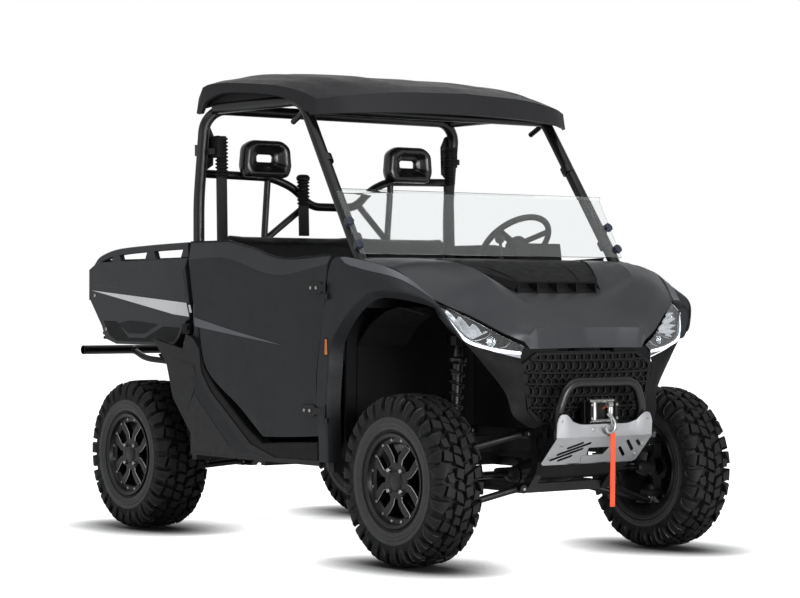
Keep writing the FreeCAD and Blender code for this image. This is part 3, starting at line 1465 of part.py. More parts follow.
def belt_boot():
    """Ribbed boot over the left belt's reel, hung beside the hoop."""
    top, foot = spot(boot_top_share), spot(boot_foot_share)
    pitch = (foot - top).Length / boot_rings
    profile = [(0, boot_neck)]
    for index in range(boot_rings):
        profile += [(index * pitch + pitch / 2, boot_radius), ((index + 1) * pitch, boot_neck)]
    return turned(top, foot - top, profile, 8)


def engine_block():
    low, high = spot(engine_low_share), spot(engine_high_share)
    return box(V(low.x, -low.y, low.z), high)


gear_lever_foot_share = (0.4481, 0.1935, 0.5793)
gear_lever_top_share = (0.443, 0.1935, 0.642)
lever_radius = 9
knob_radius = 22
knob_foot = 13


def gear_lever():
    foot, top = spot(gear_lever_foot_share), spot(gear_lever_top_share)
    stem = rod(foot, top, 2 * lever_radius)
    knob = turned(top - V(0, 0, knob_radius), V(0, 0, 1),
                  [(0, knob_foot), (knob_radius, knob_radius), (2 * knob_radius, knob_foot)], 10)
    return fused([stem, knob])


# Windscreen: half height, in front of the pillars, with a bent lip
screen_line_shares = [(0.5443, 0.5959), (0.4468, 0.7179), (0.4506, 0.7275)]
screen_half_share = (0, 0.9213, 0)
screen_thickness = 6
clamp_low_share = (0.4709, 0.8723, 0.6458)
clamp_high_share = (0.5101, 0.9394, 0.6766)


def windscreen():
    half = place_y(screen_half_share[1])
    line = side_spots(screen_line_shares, 0)
    return ribbon(line[::-1], screen_thickness, -half, half)


def windscreen_clamp():
    """Left clamp, wrapped round the screen's side edge and up against the pillar."""
    block = box(spot(clamp_low_share), spot(clamp_high_share))
    half = place_y(screen_half_share[1]) + seat_gap
    line = side_spots(screen_line_shares, 0)[::-1]
    lift = (line[0] - line[1]).cross(V(0, 1, 0)).normalize() * seat_gap
    if lift.x < 0:
        lift = lift * -1
    slot = ribbon([point + lift for point in line], screen_thickness + 2 * seat_gap, -half, half)
    pillar = tube(spots(pillar_front_shares), pillar_bend, cage_tube + 2 * seat_gap)
    return block.cut(slot).cut(pillar)


# Tipping bed of the left side
bed_side_outline_shares = [(-0.8291, 0.5949), (-0.8797, 0.5786), (-0.8772, 0.5334), (-0.8722, 0.5074),
                           (-0.8006, 0.4483),
                    (-0.7797, 0.42), (-0.7152, 0.4085), (-0.3861, 0.4085), (-0.3544, 0.4229),
    (-0.3165, 0.4613), (-0.2949, 0.4671),
                    (-0.3, 0.5074), (-0.3209, 0.5786), (-0.3082, 0.5988)]
rail_line_shares = [(-0.8228, 0.5988), (-0.7152, 0.6228), (-0.3082, 0.6333)]
rail_post_places_shares = [(-0.719, 0.6103), (-0.519, 0.6199), (-0.3165, 0.6199)]
stripe_outline_shares = [(-0.8608, 0.5272), (-0.3038, 0.4983), (-0.2892, 0.4685), (-0.3753, 0.4743)]
stripe_thickness = 1.5
bed_floor_ribs = 5
bed_rib = 22


def bed_side():
    """Left side panel with the raised rail over two slots."""
    panel = slab(side_spots(bed_side_outline_shares, bed_side_y - bed_side_thickness),
                 V(0, bed_side_thickness, 0))
    low, high = bed_side_y - rail_bar - panel_gap, bed_side_y - panel_gap
    pieces = [panel, ribbon(side_spots(rail_line_shares, 0), rail_bar, low, high)]
    for place in side_spots(rail_post_places_shares, 0):
        pieces.append(box(V(place.x - rail_bar / 2, low, place.z - 2 * rail_bar),
                          V(place.x + rail_bar / 2, high, place.z)))
    return fused(pieces)


def bed_tub():
    """Bed floor with ribs, front wall and inner side walls with flanges out to the side panels."""
    side_y = bed_side_y - bed_side_thickness - seat_gap
    floor_low = bed_floor_z - bed_floor_thickness
    pieces = [box(V(bed_rear_x, -side_y, floor_low), V(bed_front_x, side_y, bed_floor_z))]
    pieces.append(box(V(bed_front_x - bed_wall, -side_y, floor_low), V(bed_front_x, side_y, bed_top_z)))
    for side in (-1, 1):
        low, high = sorted((side * bed_inner_y, side * (bed_inner_y + bed_wall)))
        pieces.append(box(V(bed_rear_x, low, floor_low), V(bed_front_x, high, bed_top_z)))
        low, high = sorted((side * bed_inner_y, side * side_y))
        pieces.append(box(V(bed_rear_x, low, bed_top_z - bed_wall), V(bed_front_x, high, bed_top_z)))
        low, high = sorted((side * (pivot_y + seat_gap + 1), side * (pivot_y + pivot_pin)))
        ear = box(V(pivot_x - rail_width / 2, low, pivot_z - bed_rib), V(pivot_x + rail_width / 2, high,
                                                                         floor_low))
        hole = round_bar(V(pivot_x, low - overrun, pivot_z), V(pivot_x, high + overrun, pivot_z),
                         2 * (bed_pivot_radius + seat_gap))
        pieces.append(ear.cut(hole))
    pitch = 2 * bed_inner_y / bed_floor_ribs
    for index in range(1, bed_floor_ribs):
        y = -bed_inner_y + index * pitch
        pieces.append(box(V(bed_rear_x, y - bed_rib / 2, bed_floor_z),
                          V(bed_front_x, y + bed_rib / 2, bed_floor_z + bed_rib / 3)))
    return fused(pieces)


bed_rest_places_shares = [(-0.3418, 0.395), (-0.6582, 0.395)]
bed_rest_half = 26


def bed_rests():
    """Rubber blocks on the frame's rear rails that the lowered bed lies on."""
    shapes = []
    top = bed_floor_z - bed_floor_thickness - seat_gap
    for place in side_spots(bed_rest_places_shares, 0):
        for side in (-1, 1):
            shapes.append(box(V(place.x - bed_rest_half, side * rail_y - rail_width / 2,
                                place.z + seat_gap),
                              V(place.x + bed_rest_half, side * rail_y + rail_width / 2, top)))
    return shapes


hinge_rod_radius = 8
tailgate_hinge_share = (-0.8557, 0.4325)
tailgate_half_share = 0.8258
tailgate_half = place_y(tailgate_half_share)
tailgate_low_z_share = 0.4383
tailgate_low_z = place_z(tailgate_low_z_share)


def tailgate():
    """Tailgate panel behind the bed floor, turning on a rod along its lower edge."""
    place = side_spots([tailgate_hinge_share], 0)[0]
    low = V(bed_rear_x - seat_gap - tailgate_thickness, -tailgate_half, tailgate_low_z)
    high = V(bed_rear_x - seat_gap, tailgate_half, tailgate_low_z + tailgate_height)
    pieces = [box(low, high)]
    pieces.append(rod(V(place.x, -tailgate_half, place.z), V(place.x, tailgate_half, place.z),
                      2 * hinge_rod_radius + 4 * seat_gap))
    pieces.append(box(V(place.x - hinge_rod_radius, -tailgate_half, place.z),
                      V(place.x + hinge_rod_radius, tailgate_half, tailgate_low_z)))
    handle = box(V(low.x - panel_gap * 2, -handle_half, high.z - 4 * panel_gap),
                 V(low.x, handle_half, high.z - 2 * panel_gap))
    pieces.append(handle)
    return fused(pieces)


handle_half = 70

# Rear bumper, hitch receiver and tail lamps
bumper_tube = 44
bumper_x_share = -0.9861
bumper_x = place_x(bumper_x_share)
bumper_z_share = 0.3916
bumper_z = place_z(bumper_z_share)
bumper_half_share = 0.8258
bumper_half = place_y(bumper_half_share)
bumper_arm_shares = [(-0.9861, 0.4645, 0.3916), (-0.9051, 0.4645, 0.371), (-0.7848, 0.3012, 0.3594),
                     (-0.7418, 0.3012, 0.3566)]
bumper_brace_shares = [(-0.9747, 0.1161, 0.3873), (-0.7848, 0.3019, 0.3287), (-0.7342, 0.3019, 0.3229)]
receiver_x_share = -0.9405
receiver_x = place_x(receiver_x_share)
receiver_z_share = 0.2691
receiver_z = place_z(receiver_z_share)
receiver_outer = 64
receiver_inner = 51
receiver_pin_radius = 8.2
tail_lamp_low_share = (-0.881, 0.8516, 0.5094)
tail_lamp_high_share = (-0.881, 0.8981, 0.5718)
lamp_plate = 10


def rear_bumper():
    """Straight cross tube on two bent arms with crossed braces down to the frame."""
    pieces = [rod(V(bumper_x, -bumper_half, bumper_z), V(bumper_x, bumper_half, bumper_z), bumper_tube)]
    arm = tube(spots(bumper_arm_shares), bumper_tube, brace_tube)
    brace = tube(spots(bumper_brace_shares), brace_tube, brace_tube)
    pieces += [arm, mirrored(arm), brace, mirrored(brace)]
    return fused(pieces)


def rail_back(z):
    """How far back the frame's rear uprights reach at a height."""
    top, foot = side_spots(lower_rail_shares[:2], 0)
    fall = top.z - foot.z
    return top.x + (foot.x - top.x) * (top.z - z) / fall - rail_width * (foot - top).Length / fall


def receiver():
    """Square hitch socket open to the rear, with its cross pin bore and its arms out to the frame."""
    half, inner = receiver_outer / 2, receiver_inner / 2
    receiver_length = rail_back(receiver_z + half + rail_width) - seat_gap - receiver_x
    shape = box(V(receiver_x, -half, receiver_z - half),
                V(receiver_x + receiver_length, half, receiver_z + half))
    shape = shape.cut(box(V(receiver_x - overrun, -inner, receiver_z - inner),
                          V(receiver_x + receiver_length - overrun, inner, receiver_z + inner)))
    pin_x = receiver_x + receiver_outer
    pin = round_bar(V(pin_x, -half - overrun, receiver_z), V(pin_x, half + overrun, receiver_z),
                    2 * receiver_pin_radius)
    mast = box(V(receiver_x + receiver_length - receiver_outer, -half, receiver_z + half),
               V(receiver_x + receiver_length, half, receiver_z + half + rail_width))
    arms = box(V(receiver_x + receiver_length - receiver_outer, -rail_y, receiver_z + half),
               V(receiver_x + receiver_length, rail_y, receiver_z + half + rail_width))
    return fused([shape.cut(pin), mast, arms])


def tail_lamp():
    low, high = spot(tail_lamp_low_share), spot(tail_lamp_high_share)
    x = min(point.x for point in side_spots(bed_side_outline_shares, 0))
    return box(V(x - lamp_plate, low.y, low.z), V(x - seat_gap, high.y, high.z))


def stripe():
    corners = side_spots(stripe_outline_shares, bed_side_y)
    return slab(corners, V(0, stripe_thickness, 0))


def fender_insert():
    """Light panel lying on the left fender, between the hood's edge and the arch."""
    rows = []
    for (near, far), row in zip(insert_span_shares, fender_rows_shares[6:10]):
        inner, outer = spots(row[:2])
        rows.append([inner + (outer - inner) * near, inner + (outer - inner) * far])
    lift = V(0, insert_lift, insert_lift)
    top = V(0, insert_lift + insert_thickness / 2, insert_lift + insert_thickness)
    return skin(moved(rows, top), moved(rows, lift))


def belt():
    return box(spot(belt_low_share), spot(belt_high_share))


def main():
    front, rear, floor = frame_parts()
    save("frame_front", front)
    save("frame_rear", Part.makeCompound([rear] + bed_rests()))
    save("frame_floor", floor)
    save("cage_front", cage_front())
    save("cage_rear", cage_rear())
    save("roof", roof())
    save("hood", hood())
    save("hood_scoop", hood_scoop())
    save("floor_tub", Part.makeCompound([floor_tub(), seat_box()]))
    save("dashboard", Part.makeCompound([dashboard(), cowl(), steering_column(), gear_lever()]))
    save("steering_wheel", steering_wheel())
    save("fenders", pair(fender()))
    save("fender_inserts", pair(fender_insert()))
    save("headlamps", pair(headlamp()))
    save("lamp_strips", pair(lamp_strip()))
    save("grille", grille())
    save("fascia", pair(fascia()))
    save("radiator", radiator())
    save("bull_bar", bull_bar())
    save("skid_plate", skid_plate())
    save("winch_fairlead", Part.makeCompound([winch_fairlead(), tow_hook()]))
    save("hook_strap", hook_strap())
    left_door = door()
    save("left_door", left_door)
    save("right_door", mirrored(left_door))
    hinges = door_hinges()
    save("door_hinges", Part.makeCompound(hinges + [mirrored(hinge) for hinge in hinges]))
    save("quarter_panels", pair(quarter_panel()))
    save("sill_trims", pair(sill_trim()))
    save("side_markers", pair(side_marker()))
    liners = [front_liner(), rear_liner()]
    save("wheel_liners", Part.makeCompound(liners + [mirrored(liner) for liner in liners]))
    save("seats", Part.makeCompound(seats()))
    save("headrests", pair(headrest()))
    belts = [belt(), belt_boot()]
    save("seat_belts", Part.makeCompound(belts + [mirrored(piece) for piece in belts]))
    save("engine_block", engine_block())
    save("windscreen", windscreen())
    save("screen_clamps", pair(windscreen_clamp()))
    save("bed_tub", bed_tub())
    save("bed_sides", pair(bed_side()))
    save("bed_stripes", pair(stripe()))
    save("tailgate", tailgate())
    save("rear_bumper", rear_bumper())
    save("hitch_receiver", receiver())
    save("tail_lamps", pair(tail_lamp()))
    left_knuckle = knuckle()
    save("left_knuckle", left_knuckle)
    save("right_knuckle", mirrored(left_knuckle))
    save("rear_carriers", pair(rear_carrier()))
    arms = front_arms() + rear_arms()
    save("suspension_arms", Part.makeCompound([arm for left in arms for arm in (left, mirrored(left))]))
    save("shocks", Part.makeCompound([piece for left in (shock(False), shock(True))
                                      for piece in (left, mirrored(left))]))
    shafts = half_shafts()
    save("half_shafts", Part.makeCompound(shafts + [mirrored(shaft) for shaft in shafts]))
    save("gearcases", Part.makeCompound(gearcases() + [rack_case()]))
    save("tie_rods", tie_rods())
    wheels()


main()
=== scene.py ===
import bpy
import bmesh
import math
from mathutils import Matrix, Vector


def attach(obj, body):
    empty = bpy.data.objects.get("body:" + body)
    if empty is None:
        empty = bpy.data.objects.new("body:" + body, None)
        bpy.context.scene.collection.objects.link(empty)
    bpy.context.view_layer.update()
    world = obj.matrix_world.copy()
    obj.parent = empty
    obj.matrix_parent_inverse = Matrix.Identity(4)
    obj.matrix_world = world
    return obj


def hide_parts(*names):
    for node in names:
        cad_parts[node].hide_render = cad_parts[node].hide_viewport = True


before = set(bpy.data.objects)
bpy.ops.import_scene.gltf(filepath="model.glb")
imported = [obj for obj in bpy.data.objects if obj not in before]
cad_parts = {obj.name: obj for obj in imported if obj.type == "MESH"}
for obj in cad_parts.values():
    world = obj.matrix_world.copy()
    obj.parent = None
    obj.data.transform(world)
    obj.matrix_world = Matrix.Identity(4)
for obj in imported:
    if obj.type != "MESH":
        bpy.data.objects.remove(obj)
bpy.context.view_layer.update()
print("stage: frame loaded")

mm = 0.001
pin = 0.005  # radius in mm that closes a turned form on its axis


def at(x, y, z):
    return Vector((x * mm, y * mm, z * mm))


def grid(rows):
    return [[at(*point) for point in row] for row in rows]


def facingX(x, pairs):  # spots in a plane across the vehicle, from (y, z) pairs
    return [at(x, y, z) for y, z in pairs]


def facingY(y, pairs):  # spots in a plane along the vehicle, from (x, z) pairs
    return [at(x, y, z) for x, z in pairs]


def mirrored(points):  # the same spots on the other side of the vehicle
    return [Vector((p.x, -p.y, p.z)) for p in points]


def circle(radius, sides, tall=None):  # a round section of (side, up) offsets
    turns = [2 * math.pi * i / sides for i in range(sides)]
    return [(radius * math.cos(turn), (tall or radius) * math.sin(turn)) for turn in turns]


def hexColour(text):
    parts = [int(text[i:i + 2], 16) / 255 for i in (1, 3, 5)]
    return tuple(p / 12.92 if p <= 0.04045 else ((p + 0.055) / 1.055) ** 2.4 for p in parts) + (1.0,)


def addNode(tree, kind, options=None, values=None, wires=None):
    node = tree.nodes.new(kind)
    for key, value in (options or {}).items():
        setattr(node, key, value)
    for key, value in (values or {}).items():
        node.inputs[key].default_value = value
    for key, source in (wires or {}).items():
        tree.links.new(source, node.inputs[key])
    return node


def startMaterial(name):
    made = bpy.data.materials.new(name)
    made.use_nodes = True
    tree = made.node_tree
    shader = tree.nodes["Principled BSDF"]
    place = addNode(tree, "ShaderNodeTexCoord")
    return made, tree, shader, place.outputs["Object"]


def noise(tree, where, sizeMm, detail):
    made = addNode(tree, "ShaderNodeTexNoise", values={"Scale": 1000 / sizeMm, "Detail": detail},
                   wires={"Vector": where})
    return made.outputs[0]


def waves(tree, where, direction, sizeMm, distortion=0.0):
    made = addNode(tree, "ShaderNodeTexWave", options={"bands_direction": direction},
                   values={"Scale": 1000 / sizeMm / 6.28, "Distortion": distortion}, wires={"Vector": where})
    return made.outputs["Fac"]


def combined(tree, operation, first, second):  # the second one is a socket or a plain number
    made = addNode(tree, "ShaderNodeMath", options={"operation": operation}, wires={0: first})
    if isinstance(second, float):
        made.inputs[1].default_value = second
    else:
        tree.links.new(second, made.inputs[1])
    return made.outputs[0]


def spread(tree, source, low, high):  # turns a texture's middle range into a range of values
    values = {"From Min": 0.3, "From Max": 0.7, "To Min": low, "To Max": high}
    return addNode(tree, "ShaderNodeMapRange", values=values, wires={"Value": source}).outputs["Result"]


def twoTone(tree, shader, first, second, share):
    colour = addNode(tree, "ShaderNodeMix", options={"data_type": "RGBA"},
                     values={6: hexColour(first), 7: hexColour(second)}, wires={0: share})
    tree.links.new(colour.outputs[2], shader.inputs["Base Color"])


def raised(tree, shader, relief, depthMm, strength=1.0):
    height = addNode(tree, "ShaderNodeBump", values={"Strength": strength, "Distance": depthMm * mm},
                     wires={"Height": relief})
    tree.links.new(height.outputs["Normal"], shader.inputs["Normal"])


shineSockets = {"specular": "Specular IOR Level", "metallic": "Metallic", "sheen": "Sheen Weight",
                "coat": "Coat Weight"}


def finish(name, light, dark, rough, roughSpread=0.05, toneMm=260, smudgeMm=45, bump="noise", bumpMm=1.2,
           depthMm=0.05, stretch=(1, 1, 1), **shine):
    made, tree, shader, where = startMaterial(name)
    along = addNode(tree, "ShaderNodeMapping", values={"Scale": stretch}, wires={"Vector": where}).outputs["Vector"]
    twoTone(tree, shader, light, dark, spread(tree, noise(tree, where, toneMm, 3.0), 0, 1))
    smudge = spread(tree, noise(tree, along, smudgeMm, 5.0), rough - roughSpread, rough + roughSpread)
    tree.links.new(smudge, shader.inputs["Roughness"])
    if bump == "pebble":
        relief = addNode(tree, "ShaderNodeTexVoronoi", options={"feature": "SMOOTH_F1"},
                         values={"Scale": 1000 / bumpMm}, wires={"Vector": along}).outputs["Distance"]
    else:
        relief = noise(tree, along, bumpMm, 4.0)
    raised(tree, shader, relief, depthMm)
    for key, value in shine.items():
        shader.inputs[shineSockets[key]].default_value = value
    return made


def flakePaint(name, light, dark, rough, flakeMm, metallic):
    made = finish(name, light, dark, rough, 0.04, 420, 60, "noise", 14, 0.03, metallic=metallic, specular=0.22)
    tree = made.node_tree
    where = tree.nodes["Texture Coordinate"].outputs["Object"]
    flake = addNode(tree, "ShaderNodeTexVoronoi", values={"Scale": 1000 / flakeMm}, wires={"Vector": where})
    values = {"From Min": 0.0, "From Max": 1.0, "To Min": metallic - 0.2, "To Max": metallic + 0.2}
    sparkle = addNode(tree, "ShaderNodeMapRange", values=values, wires={"Value": flake.outputs["Color"]})
    tree.links.new(sparkle.outputs["Result"], tree.nodes["Principled BSDF"].inputs["Metallic"])
    return made


def wovenCloth(name, light, dark, threadMm, sheen=0.3):
    made, tree, shader, where = startMaterial(name)
    both = combined(tree, "MULTIPLY", waves(tree, where, "Y", threadMm, 0.4), waves(tree, where, "Z", threadMm, 0.4))
    fade = addNode(tree, "ShaderNodeTexNoise", values={"Scale": 22.0, "Detail": 4.0}, wires={"Vector": where})
    twoTone(tree, shader, dark, light, spread(tree, fade.outputs[0], 0.1, 0.9))
    raised(tree, shader, both, 0.35, 0.9)
    shader.inputs["Roughness"].default_value = 0.8
    shader.inputs["Sheen Weight"].default_value = sheen
    return made


def clearPlastic(name, tint, rough, ior=1.585, hazeMm=90):
    made, tree, shader, where = startMaterial(name)
    haze = spread(tree, noise(tree, where, hazeMm, 4.0), rough * 0.5, rough * 1.5)
    tree.links.new(haze, shader.inputs["Roughness"])
    shader.inputs["Base Color"].default_value = hexColour(tint)
    shader.inputs["Transmission Weight"].default_value = 1.0
    shader.inputs["IOR"].default_value = ior
    return made


def glow(name, tint, strength):
    made = finish(name, tint, tint, 0.3, 0.05, 60, 12, "noise", 3, 0.05)
    shader = made.node_tree.nodes["Principled BSDF"]
    shader.inputs["Emission Color"].default_value = hexColour(tint)
    shader.inputs["Emission Strength"].default_value = strength
    return made


def finCore(name, finMm=4.0, ribMm=11.0):
    made, tree, shader, where = startMaterial(name)
    both = combined(tree, "MAXIMUM", waves(tree, where, "Z", finMm), waves(tree, where, "Y", ribMm))
    # darker in the troughs of the fin pattern and lighter on the crests: painted shade between the fins
    twoTone(tree, shader, "#060606", "#2b2c2e", both)
    raised(tree, shader, both, 2)
    shader.inputs["Roughness"].default_value = 0.5
    shader.inputs["Metallic"].default_value = 0.6
    return made


# soft sheen with fine flakes, broad slow tone
bodyPaint = flakePaint("satin metallic charcoal paint", "#3c3d3f", "#353638", 0.42, 0.9, 0.4)
# a step darker and duller than the hood
doorPaint = flakePaint("dark satin moulded panel", "#28292b", "#232426", 0.5, 0.9, 0.3)
# the lighter strip over each front wheel
insertPaint = flakePaint("light silver grey panel", "#66686b", "#595b5e", 0.4, 0.8, 0.5)
# leather grain, soft highlights
trimPlastic = finish("grained black plastic", "#101011", "#0b0b0c", 0.54, 0.06, 300, 35, "pebble", 1.1, 0.12,
                     specular=0.14)
# the same grain with more sheen, for the sills
sidePlastic = finish("dark grey moulded plastic", "#1a1a1c", "#131315", 0.46, 0.06, 320, 40, "pebble", 1.2, 0.1,
                     specular=0.22)
# broad satin glow along the ribs
roofPlastic = finish("matte moulded roof plastic", "#1f1f21", "#18181a", 0.55, 0.05, 420, 50, "pebble", 1.4, 0.1,
                     specular=0.2)
# dull and slightly wavy
linerPlastic = finish("blow moulded liner plastic", "#0b0b0c", "#070708", 0.62, 0.06, 240, 40, "pebble", 2.2, 0.2,
                      specular=0.12)
# orange peel and a clean line of light
cageCoat = finish("satin black powder coat", "#0c0c0d", "#080809", 0.34, 0.05, 300, 40, "noise", 1.6, 0.035,
                  specular=0.35)
# thicker, duller coat
frameCoat = finish("black chassis paint", "#0c0c0d", "#080809", 0.45, 0.08, 180, 30, "noise", 2.4, 0.06, specular=0.25)
# a paler worn ring round the rim
sideRubber = finish("smooth sidewall rubber", "#222223", "#181819", 0.48, 0.1, 60, 14, "noise", 2.2, 0.08,
                    specular=0.45)
# dusty black with faint mould marks
tyreRubber = finish("matte tread rubber", "#171718", "#0e0e0f", 0.66, 0.09, 70, 18, "noise", 1.6, 0.12, specular=0.2)
# a low gloss on the spoke faces
wheelBlack = finish("satin black wheel enamel", "#0d0d0e", "#08080a", 0.34, 0.05, 120, 20, "noise", 2.0, 0.02,
                    specular=0.3)
# thin bright cut edges
machined = finish("machined wheel alloy", "#b6b7b9", "#9c9d9f", 0.28, 0.06, 30, 9, "noise", 0.5, 0.01, (1, 6, 1),
                  metallic=1.0)
# cool grey spangle on bolts and rollers
zincSteel = finish("zinc plated steel", "#a9aaa8", "#8a8b88", 0.34, 0.1, 25, 8, "noise", 0.9, 0.02, metallic=1.0)
# shafts, discs and springs
darkSteel = finish("oiled dark steel", "#39393b", "#262628", 0.4, 0.1, 40, 12, "noise", 1.0, 0.03, metallic=1.0)
# cross-wise brush lines, pale sheen
brushedAlloy = finish("brushed skid plate alloy", "#a6a7a9", "#949597", 0.38, 0.07, 200, 60, "noise", 3.0, 0.02,
                      (1, 0.06, 1),
                      metallic=0.8)
# rough skin of a casting
castMetal = finish("sand cast case metal", "#29292b", "#1c1c1d", 0.58, 0.08, 90, 22, "noise", 1.8, 0.18, metallic=0.5)
# fine leather grain
seatVinyl = finish("grained seat vinyl", "#111112", "#0c0c0d", 0.5, 0.07, 160, 26, "pebble", 1.3, 0.16, sheen=0.05,
                   specular=0.2)
# steering wheel rim
ringRubber = finish("soft grip rubber", "#141415", "#0e0e0f", 0.55, 0.06, 80, 20, "pebble", 0.8, 0.1, specular=0.35)
# clear lines of light on the headrests
glossVinyl = finish("polished seat vinyl", "#0f0f10", "#0a0a0b", 0.3, 0.05, 160, 30, "pebble", 1.5, 0.05, specular=0.5)
beltWeb = wovenCloth("woven belt webbing", "#171718", "#0f0f10", 1.4, 0.1)  # ribbed weave
strapWeb = wovenCloth("orange strap webbing", "#d8481f", "#c23a15", 1.8)  # bright weave with slight fading
screenClear = clearPlastic("hard coated clear sheet", "#f3f6f6", 0.02)  # clear sheet with faint smears
lampClear = clearPlastic("clear lamp lens", "#f2f5f7", 0.02)  # glossy cover of the headlamps
# small mirror bowls
chrome = finish("vapour plated reflector", "#e4e6e8", "#d2d4d6", 0.1, 0.04, 20, 6, "noise", 4, 0.03, metallic=1.0)
lightGuide = glow("white light guide", "#eef2f8", 0.85)  # lit daytime strip
# slightly glossy film
stripeFilm = finish("white decal film", "#eeeeef", "#dcdddd", 0.34, 0.04, 200, 40, "noise", 6, 0.02)
# prismed red cover
redLens = finish("red lamp lens", "#a5100c", "#7f0a08", 0.16, 0.04, 30, 8, "pebble", 5, 0.3, coat=0.6)
# prismed amber cover
orangeLens = finish("orange reflector", "#e07a1a", "#c5600c", 0.2, 0.04, 24, 8, "pebble", 3, 0.25, coat=0.6)
# bluish black knobs
clampBlue = finish("dark navy clamp plastic", "#1b2033", "#141826", 0.38, 0.05, 60, 15, "noise", 2, 0.04)
# its fin pattern carries painted shade in the gaps between the fins
radiatorCore = finCore("dark finned radiator core")  # fine fins behind the grille
print("stage: materials made")


class Form:
    def __init__(self):
        self.verts, self.faces, self.marks = [], [], []

    def add(self, verts, faces, mark=0):
        base = len(self.verts)
        self.verts += [Vector(v) for v in verts]
        for index, face in enumerate(faces):
            self.faces.append([base + i for i in face])
            self.marks.append(mark[index] if isinstance(mark, list) else mark)
        return self

    def join(self, other, shift=(0, 0, 0)):
        return self.add([v + Vector(shift) for v in other.verts], other.faces, list(other.marks))

    def flipped(self):  # the same form on the other side of the vehicle
        return Form().add(mirrored(self.verts), [f[::-1] for f in self.faces], list(self.marks))

    def both(self):
        return self.join(self.flipped())

    def block(self, low, high, mark=0):
        a, b = at(*low), at(*high)
        corners = [Vector((x, y, z)) for z in (a.z, b.z) for y in (a.y, b.y) for x in (a.x, b.x)]
        faces = [(0, 2, 3, 1), (4, 5, 7, 6), (0, 1, 5, 4), (2, 6, 7, 3), (0, 4, 6, 2), (1, 3, 7, 5)]
        return self.add(corners, faces, mark)

    def sheet(self, points, mark=0, loopAcross=False, loopAlong=False):  # faces over a grid of points
        rows, columns = len(points), len(points[0])
        faces = []
        for r in range(rows if loopAlong else rows - 1):
            for c in range(columns if loopAcross else columns - 1):
                r2, c2 = (r + 1) % rows, (c + 1) % columns
                faces.append((r * columns + c, r * columns + c2, r2 * columns + c2, r2 * columns + c))
        return self.add([p for row in points for p in row], faces, mark)

    def turned(self, origin, axis, profile, sides=32, mark=0, closed=False):  # profile of (along, radius) pairs in mm
        axis = Vector(axis).normalized()
        first = axis.orthogonal().normalized()
        second = axis.cross(first)
        turns = [2 * math.pi * i / sides for i in range(sides)]
        outs = [first * math.cos(turn) + second * math.sin(turn) for turn in turns]
        rings = [[origin + axis * along * mm + out * radius * mm for out in outs] for along, radius in profile]
        self.sheet(rings, mark, loopAcross=True, loopAlong=closed)
        if not closed:
            last = mark[-1] if isinstance(mark, list) else mark
            if profile[0][1] > pin:
                self.add(rings[0], [list(range(sides))[::-1]], last)
            if profile[-1][1] > pin:
                self.add(rings[-1], [list(range(sides))], last)
        return self

    def rod(self, start, end, radius, sides=20, mark=0, edge=1.0):
        length = (end - start).length / mm
        edge = min(edge, radius * 0.4, length * 0.4)
        profile = [(0, radius - edge), (edge, radius), (length - edge, radius), (length, radius - edge)]
        return self.turned(start, end - start, profile, sides, mark)

    def swept(self, path, section, mark=0, up=None, loop=False):  # section of (side, up) offsets in mm
        count = len(path)
        rings = []
        normal = None
        for i, here in enumerate(path):
            ahead = path[(i + 1) % count] if loop else path[min(i + 1, count - 1)]
            behind = path[i - 1] if (loop or i) else path[0]
            along = (ahead - behind).normalized()
            if up is not None:
                side = along.cross(Vector(up)).normalized()
                normal = side.cross(along)
            else:
                normal = (along.orthogonal() if normal is None else normal - along * normal.dot(along)).normalized()
                side = along.cross(normal)
            rings.append([here + side * u * mm + normal * v * mm for u, v in section])
        self.sheet(rings, mark, loopAcross=True, loopAlong=loop)
        if not loop:
            self.add(rings[0], [list(range(len(section)))], mark)
            self.add(rings[-1], [list(range(len(section)))[::-1]], mark)
        return self

    def tube(self, points, radius, bend=60, sides=20, mark=0):
        return self.swept(bentPath(points, bend * mm), circle(radius, sides), mark)

    # pushed along a step, its far face inset by a chamfer
    def plate(self, outline, step, mark=0, inset=0, edgeMark=None):
        count = len(outline)
        walls = [[i, (i + 1) % count, count + (i + 1) % count, count + i] for i in range(count)]
        foot, far = [list(range(count))[::-1]], [p + step for p in outline]
        if not inset:
            return self.add(list(outline) + far, walls + foot + [[count + i for i in range(count)]], mark)
        rise = step.normalized() * inset * mm
        waist, top = [p - rise for p in far], insetLoop(far, inset * mm, step.normalized())
        self.add(list(outline) + waist, walls + foot, mark)
        self.add(waist + top, walls, mark if edgeMark is None else edgeMark)
        return self.add(top, [list(range(count))], mark)

    def build(self, name, finishes, bevel=0.0, angle=32, segments=2):
        name = name.replace(" ", "_")
        mesh = bpy.data.meshes.new(name)
        mesh.from_pydata([tuple(v) for v in self.verts], [], self.faces)
        mesh.polygons.foreach_set("material_index", self.marks)
        mesh.polygons.foreach_set("use_smooth", [True] * len(self.faces))
        work = bmesh.new()
        work.from_mesh(mesh)
        bmesh.ops.remove_doubles(work, verts=work.verts, dist=0.02 * mm)
        bmesh.ops.recalc_face_normals(work, faces=work.faces)
        work.to_mesh(mesh)
        work.free()
        mesh.set_sharp_from_angle(angle=math.radians(angle))
        made = bpy.data.objects.new(name, mesh)
        bpy.context.scene.collection.objects.link(made)
        for one in finishes:
            mesh.materials.append(one)
        if bevel:
            edge = made.modifiers.new("soft edges", "BEVEL")
            edge.width = bevel * mm
            edge.segments = segments
            edge.limit_method = "ANGLE"
            edge.angle_limit = math.radians(angle)
            edge.harden_normals = True
        return made


